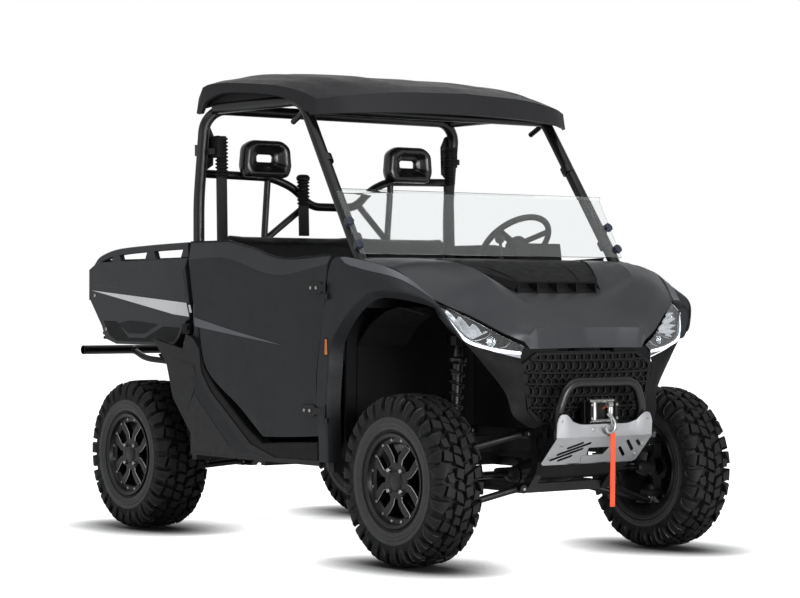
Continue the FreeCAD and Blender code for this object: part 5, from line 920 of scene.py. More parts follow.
skidSizes = {"thickness": 5, "slotHalf": 7, "foldZ": 512, "foldX": 1556, "lowZ": 402, "lowX": 1452}
skidRows = grid([
    [(1552, 0, 562), (1552, 120, 562), (1555, 168, 574), (1560, 204, 602), (1558, 236, 600), (1556, 251, 568)],
    [(1556, 0, 512), (1556, 120, 512), (1556, 160, 512), (1556, 200, 512), (1554, 234, 512), (1552, 252, 512)],
    [(1452, 0, 402), (1452, 120, 402), (1450, 200, 406), (1440, 252, 414)],
    [(1400, 0, 356), (1400, 120, 356), (1400, 180, 356), (1396, 228, 362)],
    [(1310, 0, 330), (1310, 120, 330), (1310, 180, 330), (1310, 218, 334)]])
skid = Form()
thicken(skid, wholeRows(smoothGrid(skidRows[:2], 8, 6, (2,))), -skidSizes["thickness"])
thicken(skid, wholeRows(smoothGrid(skidRows[2:], 8, 6, (2,), (1,))), -skidSizes["thickness"], 2)


def slopeX(z):  # how far forward the slotted slope lies at a height
    fall = (skidSizes["foldX"] - skidSizes["lowX"]) / (skidSizes["foldZ"] - skidSizes["lowZ"])
    return skidSizes["foldX"] - (skidSizes["foldZ"] - z) * fall


def onSlope(*pairs):
    return [at(slopeX(z), y, z) for y, z in pairs]


def slotLoop(y0, z0, y1, z1):  # a long hole with round ends
    start, end = Vector((y0, z0)), Vector((y1, z1))
    along = (end - start).normalized()
    side = Vector((-along.y, along.x))
    loop = []
    for centre, base in ((end, 0), (start, math.pi)):
        for i in range(7):
            turn = base + math.pi / 2 - math.pi * i / 6
            loop.append(centre + (along * math.cos(turn) + side * math.sin(turn)) * skidSizes["slotHalf"])
    return onSlope(*loop)


def holedPlate(form, loops, step):  # the first loop is the outline and the others are holes
    work = bmesh.new()
    for loop in loops:
        corners = [work.verts.new(p) for p in loop]
        for a, b in zip(corners, corners[1:] + corners[:1]):
            work.edges.new((a, b))
    bmesh.ops.triangle_fill(work, use_beauty=True, edges=work.edges[:], normal=step)
    work.verts.index_update()
    verts, faces = [v.co.copy() for v in work.verts], [[v.index for v in f.verts] for f in work.faces]
    work.free()
    form.add(verts, faces)
    form.add([v - step for v in verts], [face[::-1] for face in faces])
    for loop in loops:
        form.sheet([loop, [p - step for p in loop]], loopAcross=True)


slots = [slotLoop(*ends) for ends in (
    (-100, 489, -160, 470), (-59, 487, -193, 444), (-83, 465, -213, 422), (-118, 436, -170, 419),
    (138, 491, 194, 452), (118, 463, 166, 430), (190, 490, 218, 472))]
slots.append(onSlope((-52, 470), (60, 470), (48, 436), (-40, 436)))
edgeLoop = onSlope((-252, 512), (252, 512), (252, 410), (236, 402), (-236, 402), (-252, 410))
holedPlate(skid, [edgeLoop] + slots, at(3.5, 0, 3.5))
skid.plate(onSlope((-64, 433), (56, 433), (42, 408), (-50, 408)), at(2, 0, -2), 0, 0.6)
for y, z in ((-224, 578), (224, 578), (-200, 480), (232, 470), (-226, 430), (226, 430), (-60, 540), (60, 540)):
    onLip = z > skidSizes["foldZ"] - 2
    spot = at((skidSizes["foldX"] if onLip else slopeX(z)) - 2, y, z)
    bolt = [(0, 9), (2.5, 9), (3.5, 7), (3.5, 4), (6, 3.6), (6, pin)]
    skid.turned(spot, (1, 0, 0 if onLip else -0.95), bolt, 16, 1)
show(skid, "skid plate", [brushedAlloy, zincSteel, linerPlastic], 0.7, 22)

winch = Form()
winch.plate(facingX(1506, ((-74, 566), (-74, 656), (74, 656), (74, 566))), at(8, 0, 0), 0, 1.5)
for y in (-66, 66):
    winch.block((1512, y - 5, 572), (1548, y + 5, 650), 0)
for y in (-39, 50):  # upright and lying rollers
    winch.rod(at(1530, y, 575), at(1530, y, 648), 12, 28, 1)
for z in (572, 652):
    winch.rod(at(1530, -64, z), at(1530, 64, z), 9, 24, 1)
for y, z in ((-66, 584), (-66, 638), (66, 584), (66, 638)):
    winch.turned(at(1548, y, z), (1, 0, 0), [(0, 6), (4, 6), (5, 5), (5, pin)], 6, 1)
hookX = 1570
hookLine = facingX(hookX, ((8, 634), (8, 608), (22, 588), (36, 566), (34, 542), (16, 527), (-4, 533), (-12, 550)))
winch.swept(smoothLine(hookLine, 6), circle(7, 12), 1)
winch.turned(at(hookX, -2, 640), axle, [(0, 5), (0, 13), (20, 13), (20, 5)], 24, 1, closed=True)
winch.tube([at(1530, 8, 622), at(1548, 8, 630), at(1566, 8, 640)], 4, 8, 12, 2)
winch.plate(facingX(1567, ((-2, 606), (20, 590), (24, 560), (18, 556), (12, 584), (-6, 598))), at(6, 0, 0), 1, 1)
show(winch, "winch gear", [frameCoat, zincSteel, strapWeb], 0.7, node="winch_fairlead")

strapSizes = {"width": 0.026, "thickness": 2.4, "length": 0.296}
strapPath = smoothLine([at(1570, 26, 527), at(1571.5, 25, 480), at(1571, 25.5, 420), at(1570, 25, 350),
                        at(1569, 25.5, 290),
                        at(1568.5, 25, 231)], 10)
half, thin = strapSizes["width"] * 500, strapSizes["thickness"] / 2
webHalf = [(-half, -thin + 0.4), (-half, thin - 0.4), (-half + 1, thin)]
strapForm = Form().swept(strapPath, webHalf + [(-u, v) for u, v in webHalf[::-1]]
                         + [(half - 1, -thin), (-half + 1, -thin)], up=(1, 0, 0))
strap = show(strapForm, "hook strap", [strapWeb], 0, 40)
print("stage: front made")

# doors: rows from the bottom edge up, each from the front edge to the back
doorSizes = {"acrossSteps": 8, "alongSteps": 6, "innerY": 735, "hingeX": 698, "hingeY": 768.5}
doorRows = grid([
    [(636, 752, 496), (440, 752, 484), (224, 752, 476), (200, 752, 486)],
    [(624, 754, 620), (420, 756, 612), (140, 756, 604), (30, 752, 596)],
    [(622, 756, 754), (400, 758, 750), (60, 758, 746), (-232, 754, 752)],
    [(652, 756, 905), (359, 757, 885), (0, 757, 934), (-302, 753, 960)],
    [(676, 754, 1010), (237, 755, 1009), (0, 756, 1024), (-348, 753, 1046)],
    [(700, 757, 1204), (322, 757, 1162), (-66, 757, 1238), (-386, 753, 1238)],
    [(706, 740, 1240), (340, 739, 1232), (-68, 739, 1312), (-386, 739, 1314)]])
doorForm = Form()
doorPoints = smoothGrid(doorRows, doorSizes["acrossSteps"], doorSizes["alongSteps"], (), (3, 4, 5))
doorFlat = [[Vector((p.x, doorSizes["innerY"] * mm, p.z)) for p in row] for row in doorPoints]
cells, paintedLitShoulderCells = ((count * (len(doorPoints[0]) - 1)) for count in (len(doorPoints) - 1, doorSizes["alongSteps"]))
# the band along the top of the door takes the lighter hood paint, a painted highlight on the upward-facing shoulder
doorForm.sheet(doorPoints, [0] * (cells - paintedLitShoulderCells) + [5] * paintedLitShoulderCells)
doorForm.sheet([row[::-1] for row in doorFlat], 1)
joinRims(doorForm, doorPoints, doorFlat)
hingeX, hingeY = doorSizes["hingeX"], doorSizes["hingeY"]
for x, z in ((575, 1106), (528, 600)):  # hinge straps with their bolts
    leaf = ((x, z - 24), (x + 74, z - 24), (x + 100, z - 14), (x + 100, z + 14), (x + 74, z + 24), (x, z + 24))
    doorForm.plate(facingY(757, leaf), at(0, 6, 0), 2, 1.4)
    doorForm.plate(facingY(764, ((x + 88, z - 13), (693, z - 13), (693, z + 13), (x + 88, z + 13))), at(0, 5, 0), 2, 1)
    doorForm.rod(at(hingeX, hingeY, z - 25), at(hingeX, hingeY, z + 25), 5.5, 20, 2)
    for boltX in (x + 16, x + 56):
        doorForm.turned(at(boltX, 762.6, z), axle, [(0, 8), (3, 8), (5, 6), (5, pin)], 6, 3)
sealLine = facingY(740, ((-384, 1316), (-68, 1314), (120, 1280), (340, 1234))) + [at(706, 741, 1242)]
doorForm.swept(smoothLine(sealLine, 8, (1,)), [(-3, -3), (-3, 3), (3, 3), (3, -3)], 1, up=(0, 0, 1))
wedge = [smoothLine([at(-334, 754.6, high), at(0, 758.4, middle), at(378, 759.2, 866)], 8)
         for high, middle in ((980, 923), (940, 905))]
thicken(doorForm, wedge, -0.8, 4)  # thin grey film that carries on the stripe of the bed
doorForm.block((-330, 728, 1180), (-250, 736, 1214), 1)  # inner latch and pull
doorForm.tube([at(-200, 735, 1120), at(-200, 712, 1120), at(-60, 712, 1120), at(-60, 735, 1120)], 8, 14, 12, 1)
# slot 5, the lighter hood paint, carries the painted highlight on the door's shoulder band
doorFinishes = [doorPaint, trimPlastic, frameCoat, zincSteel, insertPaint, bodyPaint]
for side, form in (("left", doorForm), ("right", doorForm.flipped())):
    show(form, f"{side} door", doorFinishes, 1.4, 26, body=f"{side}_door")

hinges = Form()
for z in (1106, 600):
    top = z - 25.3
    hinges.plate(facingY(760.4, ((693, top - 22), (720, top - 22), (720, top), (693, top))), at(0, 12, 0), 0, 1.2)
    hinges.rod(at(hingeX, hingeY, top - 23), at(hingeX, hingeY, top), 5.4, 18, 0)
show(hinges.both(), "door hinges", [frameCoat], 0.6)

# sills, quarter panels and side markers
panels = Form()
quarterLoop = [(-681, 878), (-424, 832), (-396, 900), (-340, 880), (-292, 836), (-276, 740), (-195, 650), (127, 436),
               (318, 386), (643, 390), (643, 379), (78, 377), (-353, 377), (-353, 468), (-506, 622), (-561, 770),
               (-662, 868)]
upperRelief = ((-520, 800), (-330, 770), (-300, 700), (-380, 560), (-440, 640))
lowerRelief = ((-318, 640), (-40, 430), (300, 384), (-320, 384), (-330, 470), (-420, 560))
for y, loop, depth, inset in ((728.4, quarterLoop, 31.6, 6), (758, upperRelief, 5, 3), (758, lowerRelief, 4, 2.5)):
    panels.plate(facingY(y, loop), at(0, depth, 0), 0, inset)
innerLine = smoothLine(facingY(757, ((-300, 780), (-270, 716), (-176, 624), (126, 420), (300, 383))), 6, (2, 3))
outerLine = smoothLine([at(-352, 757, 770), at(-330, 768, 690), at(-236, 769, 590), at(30, 769, 404),
                        at(120, 757, 380)], 6, (2, 3))
# ridge beside the door opening
thicken(panels, [innerLine, outerLine, [Vector((p.x - 8 * mm, 0.755, p.z - 8 * mm)) for p in outerLine]], 4, 2)
panels.block((-462, 704, 906), (-402, 740, 950), 1)  # latch block
panels.block((-456, 728, 922), (-410, 748, 942), 1)
show(panels.both(), "quarter panels", [sidePlastic, trimPlastic, doorPaint], 1.2, 26)
trims = Form()
trimLoop = [(-291.5, 836), (-275.5, 740), (-194.6, 650.6), (127.3, 436.6), (318, 386.6), (636, 390.6), (630, 470),
            (440, 462), (212, 448), (86, 512), (-158, 672), (-252, 754)]
trims.plate(facingY(700, trimLoop), at(0, 57, 0), 0, 5)
show(trims.both(), "sill trims", [trimPlastic], 1.0, 26)
markers = Form()
markers.plate(facingY(760, ((689, 826), (717, 826), (720, 832), (716, 902), (692, 902), (688, 896))), at(0, 5.5, 0), 0,
              1.6)
markers.plate(facingY(764, ((694, 832), (713, 832), (711, 896), (696, 896))), at(0, 2, 0), 1, 0.6)
show(markers.both(), "side markers", [trimPlastic, orangeLens], 0.3)
print("stage: doors and sides made")


# roof with moulded ribs
roofSizes = {"thickness": 16, "acrossSteps": 8, "alongSteps": 6, "ribHeight": 7, "channelDepth": 6}
roofRows = grid([
    [(-450, 0, 2040), (-450, 330, 2046), (-432, 590, 2006), (-413, 684, 1960), (-402, 702, 1892)],
    [(-380, 0, 2074), (-380, 330, 2072), (-376, 590, 2040), (-366, 692, 2006), (-366, 702, 1890)],
    [(-310, 0, 2077), (-310, 330, 2074), (-310, 590, 2042), (-310, 692, 2016), (-318, 702, 1942)],
    [(-160, 0, 2077), (-160, 330, 2072), (-160, 590, 2036), (-160, 690, 2012), (-160, 702, 1968)],
    [(200, 0, 2044), (200, 330, 2034), (200, 586, 2004), (200, 690, 1976), (200, 702, 1934)],
    [(370, 0, 2014), (370, 330, 2004), (370, 578, 1974), (370, 690, 1944), (370, 702, 1892)],
    [(520, 0, 1982), (500, 330, 1972), (470, 574, 1944), (446, 688, 1922), (452, 702, 1852)],
    [(672, 0, 1940), (640, 330, 1932), (572, 566, 1912), (506, 676, 1896), (488, 702, 1838)],
    [(690, 0, 1850), (656, 330, 1846), (584, 566, 1838), (514, 678, 1832), (492, 702, 1830)]])
roof = Form()
roofPoints = smoothGrid(roofRows, roofSizes["acrossSteps"], roofSizes["alongSteps"], (3,), (1, 7))
for point in (p for row in roofPoints for p in row):  # raised rails and a shallow middle channel pressed into the top
    x, y = point.x / mm, abs(point.y) / mm
    if -330 < x < 520:
        fade = min(1, (x + 330) / 60, (520 - x) / 90)
        if 400 < y < 560:
            point.z += roofSizes["ribHeight"] * mm * fade * math.sin(math.pi * (y - 400) / 160)
        if y < 250:
            point.z -= roofSizes["channelDepth"] * mm * fade * (1 if y < 220 else (250 - y) / 30)
thicken(roof, wholeRows(roofPoints), -roofSizes["thickness"])
lowLine = smoothLine([at(-400, 668, 1912), at(-240, 668, 1922), at(332, 660, 1922), at(404, 660, 1876),
                      at(470, 664, 1850)], 6)
highLine = smoothLine([at(-400, 672, 1965), at(-240, 668, 2008), at(332, 664, 1952), at(404, 664, 1932),
                       at(470, 666, 1900)], 6)
thicken(roof, [lowLine, highLine], 5, 1)  # seals between the skin and the rails
thicken(roof, [mirrored(lowLine), mirrored(highLine)], -5, 1)
thicken(roof, [facingX(404, spots) for spots in (((-650, 1866), (0, 1866), (650, 1866)),
                                                 ((-650, 1930), (0, 1996), (650, 1930)))], 5, 1)
show(roof, "roof", [roofPlastic, trimPlastic], 2.0, 28, segments=3)

# cage tubes
cageSizes = {"tube": 25, "bar": 19, "brace": 15, "sides": 28, "bend": 70}
cageFront = Form()
pillarFoot, pillarTop = at(926, 694, 1092), at(400, 657, 1866)
pillar = [at(926, 694, 1060), pillarFoot, pillarTop, at(332, 654, 1904), at(-240, 664.6, 1908), at(-296, 664.6, 1908)]
cageFront.tube(pillar, cageSizes["tube"], 40, cageSizes["sides"])
cageFront.tube([at(300, 655, 1812), at(360, 655, 1840), at(395, 656.5, 1872)], 12, 10, 16)
cageFront.block((880, 664, 1062), (968, 724, 1069))
for x, y, z in ((-110, 655, 2004), (220, 652, 1966)):
    cageFront.block((x - 12, y - 12, 1908), (x + 12, y + 12, z - 18))
for z0, x0 in ((1300, 785), (1640, 554)):  # clamps bolted round the pillar
    cageFront.turned(at(x0, 678 - (z0 - 1240) * 0.045, z0), pillarTop - pillarFoot,
                     [(-18, 26), (-17, 29), (17, 29), (18, 26)], 28)
cageFront.both()
cageFront.rod(at(404, -660, 1862), at(404, 660, 1862), cageSizes["bar"], 28)
show(cageFront, "front cage", [cageCoat], 0.8, node="cage_front")

cageRear = Form()
hoopHalf = [at(-378, 703, 400), at(-380, 703, 1500), at(-334, 703, 1846), at(-322, 640, 1908)]
cageRear.tube(hoopHalf + mirrored(hoopHalf[::-1]), cageSizes["tube"], cageSizes["bend"], cageSizes["sides"])
barHalf = [at(-380, 700, 1623), at(-362, 330, 1615), at(-345, 217, 1571), at(-340, 124, 1486)]
cageRear.tube(barHalf + mirrored(barHalf[::-1]), cageSizes["bar"], 50, 24)
cageRear.rod(at(-380, -700, 1010), at(-380, 700, 1010), cageSizes["bar"], 24)
braces = Form()
braces.tube([at(-344, 150, 1492), at(-388, 347, 1330)], cageSizes["brace"], 20, 20)
braces.tube([at(-362, 347, 1615), at(-392, 347, 1340), at(-380, 347, 1010)], cageSizes["brace"], 50, 20)
braces.block((-364, 372, 1606), (-334.3, 430, 1650))
braces.block((-344, 670.4, 1704), (-284, 700, 1730))
for z in (1250, 1700):  # gusset plates on the hoop
    braces.plate(facingX(-372, ((690, z), (716, z), (716, z + 50), (690, z + 50))), at(-24, 0, 0), 0, 2)
# belt anchor plate with its bolts
braces.plate(facingX(-354, ((690, 1630), (644, 1660), (640, 1790), (664, 1838), (690, 1850))), at(-5, 0, 0), 0, 1)
for z in (1690, 1770):
    braces.turned(at(-354, 664, z), (1, 0, 0), [(0, 9), (3, 9), (5, 6), (5, pin)], 6)
cageRear.join(braces.both())
show(cageRear, "rear cage", [cageCoat], 0.8, node="cage_rear")
print("stage: roof and cage made")

# half windscreen and its clamps: rows of (x, z, half width, bow)
screenSizes = {"thickness": 4.5, "columns": 18}
screenSpans = ((862, 1241, 706, 22), (820, 1309, 709, 24), (780, 1373, 711, 25), (740, 1437, 713, 26),
               (712, 1484, 714, 26), (706, 1498, 714, 26), (712, 1514, 714, 26))
shares = [2 * (i / screenSizes["columns"]) - 1 for i in range(screenSizes["columns"] + 1)]
screenRows = [[at(x + bow * (1 - share ** 2) * 0.25, half * share, z) for share in shares]
              for x, z, half, bow in screenSpans]
screen = thicken(Form(), smoothGrid(screenRows, 1, 4), -screenSizes["thickness"])
show(screen, "windscreen", [screenClear], 0.8, 50)
clamps = Form()
knob = [(0, 6), (4, 12), (10, 13), (14, 10), (20, 10), (24, 19), (27, 21), (42, 21), (46, 18), (47, 6), (47, pin)]
knobAxis = Vector((0.82, 0.1, 0.54))
for x, y, z in ((772, 702, 1372), (836, 700, 1276)):
    clamps.turned(at(x, y, z) - knobAxis * 26 * mm, knobAxis, knob, 8)
    leaf = ((-16, -26, -18), (-16, 8, -18), (2, 8, 14), (2, -26, 14))
    clamps.plate([at(x, y, z) + at(*shift) for shift in leaf], at(6, 0, -4), 0, 1.4)
show(clamps.both(), "screen clamps", [clampBlue], 1.2, 30, segments=3)

# dash, cowl, column, lever
dashSizes = {"half": 676, "panelHalf": 96, "switchHalf": 13, "wheelY": 350, "leverY": 150}
dash = Form()
dashHalf, wheelY, leverY = dashSizes["half"], dashSizes["wheelY"], dashSizes["leverY"]
panelLoop = [(726, 1202), (690, 1206), (650, 1180), (640, 1110), (676, 1040), (735, 1028)]
gaugeLoop = [(672, 1190), (650, 1262), (662, 1292), (718, 1302), (732, 1230), (724, 1190)]
for y0, y1, loop in ((-dashHalf, dashHalf, panelLoop), (220, 480, gaugeLoop)):
    dash.plate(facingY(y0, loop), at(0, y1 - y0, 0), 0, 6)
dash.plate(facingX(649, ((262, 1232), (438, 1232), (438, 1280), (262, 1280))), at(-4, 0, 4), 1, 1.5)
dash.turned(at(652, wheelY, 1256), (-1, 0, 0.25), [(0, 40), (3, 40), (5, 36), (5, pin)], 40, 1)
# glove box, tray and panels, then the switches: places, half width, the lower and upper edge, depth, mark and chamfer
for places, half, (lowX, lowZ), (highX, highZ), depth, mark, inset in (
        ((-520, -300, -80), dashSizes["panelHalf"], (646, 1070), (642, 1160), -5, 0, 2),
        ((60, 96, 132, 168), dashSizes["switchHalf"], (648, 1128), (646, 1164), -8, 1, 1.4)):
    for y in places:
        face = [at(lowX, y - half, lowZ), at(lowX, y + half, lowZ), at(highX, y + half, highZ),
                at(highX, y - half, highZ)]
        dash.plate(face, at(depth, 0, 0), mark, inset)
cowlRows = grid([[(742, 0, 1232), (742, 400, 1231), (742, 640, 1229)],
                 [(800, 0, 1231), (800, 400, 1230), (800, 650, 1228)],
                 [(870, 0, 1227), (870, 400, 1226), (868, 655, 1224)]])
thicken(dash, wholeRows(smoothGrid(cowlRows, 6, 4)), -6, 2)
dash.rod(at(686, wheelY, 1175), at(600, wheelY, 1260), 22, 28, 1)
dash.tube([at(708, leverY, 1207), at(706, leverY, 1280), at(700, leverY, 1318)], 7, 30, 16, 1)
dash.turned(at(701, leverY, 1300), (-0.1, 0, 1), [(0, 10), (6, 18), (20, 22), (32, 19), (38, 10), (39, pin)], 28, 1)
dash.turned(at(708, leverY, 1207), (0, 0, 1), [(0, 34), (6, 33), (12, 24), (20, 22), (26, 15), (34, 13), (40, 8)], 28,
            1)
show(dash, "dashboard", [trimPlastic, ringRubber, roofPlastic], 1.6, 30)

wheelRing = {"radius": 165, "gripWide": 14, "gripTall": 13, "spokes": (270, 150, 390)}
wheel = Form()
hubSpot, axis = at(560, wheelY, 1300), Vector((0.7122, 0, -0.702)).normalized()
first = Vector((0, 1, 0))
second = axis.cross(first)


def fromHub(turn, radius, rise=0):  # a spot out from the steering wheel's hub
    return hubSpot + (first * math.cos(turn) + second * math.sin(turn)) * radius * mm + axis * rise * mm


ring = [fromHub(2 * math.pi * i / 72, wheelRing["radius"]) for i in range(72)]
wheel.swept(ring, circle(wheelRing["gripWide"], 16, wheelRing["gripTall"]), 0, loop=True)
wheel.turned(hubSpot, axis, [(-14, pin), (-14, 34), (-8, 46), (4, 50), (20, 44), (36, 26), (40, 23)], 40, 1)
for degrees in wheelRing["spokes"]:
    turn = math.radians(degrees)
    spoke = [fromHub(turn, 38, 4), fromHub(turn, 100, 2), fromHub(turn, 158)]
    wheel.swept(spoke, [(-16, -4), (-14, 5), (14, 5), (16, -4)], 1, up=axis)
    wheel.swept([fromHub(turn, 54, -3), fromHub(turn, 142, -4)], [(-6, -2), (-6, 2), (6, 2), (6, -2)], 2, up=axis)
show(wheel, "steering wheel", [ringRubber, trimPlastic, darkSteel], 0.8, 34, body="steering_wheel")
print("stage: dash and screen made")

# seats: stuffed cushions, simulated, with piping along the edges of the cushions
seatSizes = {"voxelMm": 7, "pressure": 4.0, "frames": 16, "capMm": 12, "sideGap": 8, "pipingRadius": 2.6}


def inflate(piece):
    remesh = piece.modifiers.new("remesh", "REMESH")
    remesh.mode = "VOXEL"
    remesh.voxel_size = seatSizes["voxelMm"] * mm
    bpy.context.view_layer.objects.active = piece
    bpy.ops.object.modifier_apply(modifier=remesh.name)
    rest = [v.co.copy() for v in piece.data.vertices]
    cloth = piece.modifiers.new("cloth", "CLOTH")
    cloth.settings.use_pressure = True
    cloth.settings.uniform_pressure_force = seatSizes["pressure"]
    cloth.settings.effector_weights.gravity = 0
    cloth.point_cache.frame_start, cloth.point_cache.frame_end = 1, seatSizes["frames"]
    scene = bpy.context.scene
    for number in range(1, seatSizes["frames"] + 1):
        scene.frame_set(number)
    bpy.ops.object.modifier_apply(modifier=cloth.name)
    scene.frame_set(1)
    cap = seatSizes["capMm"] * mm
    for vertex, start in zip(piece.data.vertices, rest):
        move = vertex.co - start
        if move.length > cap:
            vertex.co = start + move * (cap / move.length)
    smooth = piece.modifiers.new("smooth", "SMOOTH")
    smooth.iterations = 4
    bpy.ops.object.modifier_apply(modifier=smooth.name)
    piece.data.polygons.foreach_set("use_smooth", [True] * len(piece.data.polygons))


seatSpans = (("driver", 104, 611), ("passenger", -611, 88))
cushionLoop = [(-248, 706), (194, 706), (202, 812), (176, 850), (-40, 832), (-256, 822)]
backLoop = [(-252, 832), (-170, 838), (-212, 1080), (-254, 1322), (-284, 1356), (-332, 1346), (-340, 1284)]
for seatName, y0, y1 in seatSpans:
    for part, loop in (("cushion", cushionLoop), ("backrest", backLoop)):
        gap = seatSizes["sideGap"]
        pad = Form().plate(roundedLoop(facingY(y0 + gap, loop), 26), at(0, y1 - y0 - 2 * gap, 0), 0, 14)
        piece = pad.build(f"{seatName} {part}", [seatVinyl], 0, 180)
        inflate(piece)
        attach(piece, "chassis")
        if part == "cushion":
            seams = Form()
            for y in (y0 + 20, y1 - 20):
                line = [p + at(0, 0, 3) for p in roundedLoop(facingY(y, loop), 24) if p.z > 0.82]
                seams.swept(line, circle(seatSizes["pipingRadius"], 8))
            piping = seams.build(f"{seatName} {part} piping", [ringRubber])
            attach(piping, "chassis")
            if seatName == "driver":
                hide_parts("seats")

headrest = Form()
headCentre = at(-300, 401, 1692)
outerLoop = roundedLoop(facingX(-300, ((290, 1609), (512, 1609), (532, 1650), (522, 1750), (480, 1778), (322, 1778),
                                       (280, 1750), (270, 1650))), 60, 8)
innerLoop = roundedLoop(facingX(-300, ((360, 1680), (444, 1680), (450, 1697), (440, 1714), (362, 1714), (352, 1697))),
                        14, 8)


def innerSpot(spot):  # the spot of the inner loop that lies in the same direction
    aim = (spot - headCentre).normalized()
    return max(innerLoop, key=lambda p: (p - headCentre).normalized().dot(aim))


headPairs = [(spot, innerSpot(spot)) for spot in outerLoop]
# the section of the headrest's frame: (forward, share of the way in)
headSteps = ((-24, 0.04), (-32, 0.16), (-34, 0.5), (-30, 0.84), (-18, 1.0), (-4, 1.0), (2, 0.94), (5, 0.8),
             (10, 0.68), (24, 0.52), (32, 0.4), (34, 0.28), (30, 0.12), (20, 0.03), (0, 0.0))
layers = [[spot.lerp(inward, mix) + at(ahead, 0, 0) for spot, inward in headPairs] for ahead, mix in headSteps]
headrest.sheet(layers, 0, loopAcross=True, loopAlong=True)
headrest.swept([spot.lerp(inward, 0.12) + at(30.5, 0, 0) for spot, inward in headPairs], circle(1.6, 6), 1, loop=True)
show(headrest.both(), "headrests", [glossVinyl, ringRubber], 0, 60)

beltSizes = {"sideY": 640, "middleY": -195, "ringPitch": 16}
belts = Form()
webSection = [(-8, -24), (-11, -18), (-11, 18), (-8, 24), (8, 24), (11, 18), (11, -18), (8, -24)]


def ribbedBoot(x, y, z, count):
    for k in range(count):
        belts.turned(at(x - k * 0.4, y, z + k * beltSizes["ringPitch"]), (0, 0, 1),
                     [(0, 22), (4, 29), (9, 29), (13, 22)], 24, 1)


y = beltSizes["sideY"]
web = smoothLine([at(-272, y, 420), at(-276, y, 900), at(-284, y - 0.5, 1300), at(-292, y - 1, 1600)], 6)
belts.swept(web, webSection, 0, up=(0, 1, 0))
belts.plate([at(-322, 652, 1690), at(-322, 676, 1690), at(-270, 676, 1690), at(-270, 652, 1690)], at(0, 0, 98), 1, 8)
belts.tube([at(-288, y, 1604), at(-292, y, 1786)], 22, 5, 20, 1)
ribbedBoot(-288, y, 1608, 11)
belts.plate([at(-300, 622, 760), at(-300, 658, 760), at(-250, 658, 760), at(-250, 622, 760)], at(0, 0, 60), 1, 4)
belts.both()
y = beltSizes["middleY"]  # the middle place has one belt
belts.tube([at(-296, y, 1488), at(-300, y, 1604)], 22, 5, 20, 1)
ribbedBoot(-297, y, 1492, 7)
belts.turned(at(-300, y, 1600), (0, 0, 1), [(0, 22), (4, 30), (16, 32), (26, 26), (30, 16), (30, pin)], 24, 1)
belts.swept([at(-292, y, 1350), at(-296, y, 1490)], webSection, 0, up=(0, 1, 0))
show(belts, "seat belts", [beltWeb, trimPlastic], 0.8, 34)
print("stage: seats and belts made")

# tipping bed: outer sides, rail, tub, stripe, lamps and gate
bedSizes = {"sideInner": 655, "skinY": 697, "frontX": -505, "rearX": -1330, "tubHalf": 654, "floorZ": 871, "topZ": 1250,
            "floorRibs": 15, "floorRibPitch": 72, "sideRibPitch": 110}
sides = Form()
skinY = bedSizes["skinY"]
sideLoop = [(-1310, 1238), (-1390, 1204), (-1386, 1110), (-1378, 1056), (-1265, 933), (-1232, 874), (-1130, 850),
            (-610, 850), (-560, 880), (-500, 960), (-466, 972), (-474, 1056), (-507, 1204), (-487, 1246)]
upperPanel = ((-1352, 1196), (-1362, 1128), (-500, 1068), (-488, 1096), (-520, 1196))
darkPanel = ((-1250, 962), (-1190, 888), (-1120, 862), (-620, 862), (-576, 888), (-540, 934), (-700, 938), (-860, 884),
             (-1010, 884), (-1120, 960))
lowPanel = ((-1120, 948), (-1010, 898), (-860, 898), (-726, 946), (-860, 960), (-1010, 966))
for y, loop, depth, mark, inset in ((bedSizes["sideInner"], sideLoop, 45, 0, 4), (skinY, upperPanel, 6, 0, 5),
                                    (skinY, darkPanel, 4, 1, 3), (skinY, lowPanel, 3, 0, 3)):
    sides.plate(facingY(y, loop), at(0, depth, 0), mark, inset)
rail = facingY(681, ((-1344, 1214), (-1290, 1252), (-1130, 1284), (-820, 1298), (-487, 1305)))
railHalf = [(-14, -16), (-14, 8), (-9, 13), (9, 13), (14, 8), (14, -16), (9, -18), (-9, -18)]
sides.swept(smoothLine(rail, 6), railHalf, 0, up=(0, 0, 1))
for x, z in ((-1136, 1290), (-820, 1304), (-500, 1312)):  # wide posts under the rail
    post = ((max(x - 52, -1190), z - 62), (min(x + 52, -488), z - 62), (min(x + 24, -488), z - 10), (x - 24, z - 10))
    sides.plate(facingY(668, post), at(0, 26, 0), 0, 2)
for x, z in ((-1330, 1080), (-1220, 920)):
    sides.turned(at(x, 700, z), axle, [(0, 9), (2, 9), (4, 6), (4, pin)], 16, 2)
show(sides.both(), "bed sides", [bodyPaint, trimPlastic, zincSteel], 1.2, 26, body="bed")
stripes = Form()
for loop in (((-1352, 1104), (-486, 1044), (-462, 982), (-596, 992)),
             ((-470, 1036), (-452, 1034), (-440, 1000), (-458, 1000))):
    stripes.plate(facingY(703.2, loop), at(0, 0.9, 0), 0, 0.3)
show(stripes.both(), "bed stripes", [stripeFilm], body="bed")
tub = Form()
front, rear, tubHalf = bedSizes["frontX"], bedSizes["rearX"], bedSizes["tubHalf"]
floorZ, topZ = bedSizes["floorZ"], bedSizes["topZ"]
tub.block((rear, -tubHalf, floorZ), (front, tubHalf, floorZ + 14))
tub.block((front - 12, -tubHalf, floorZ), (front, tubHalf, topZ))
sideBlocks = [(rear, front, 560, 572, floorZ, topZ), (rear, front, 560, tubHalf, topZ - 12, topZ)]
sideBlocks += [(x - 14, x + 14, 556, 561, 900, 1226) for x in range(-1250, -540, bedSizes["sideRibPitch"])]
sideBlocks.append((-1228, -1192, 301.3, 322, 824, 872))
for side in (-1, 1):
    for x0, x1, near, far, z0, z1 in sideBlocks:  # near and far from the middle of the vehicle
        low, high = sorted((side * near, side * far))
        tub.block((x0, low, z0), (x1, high, z1))
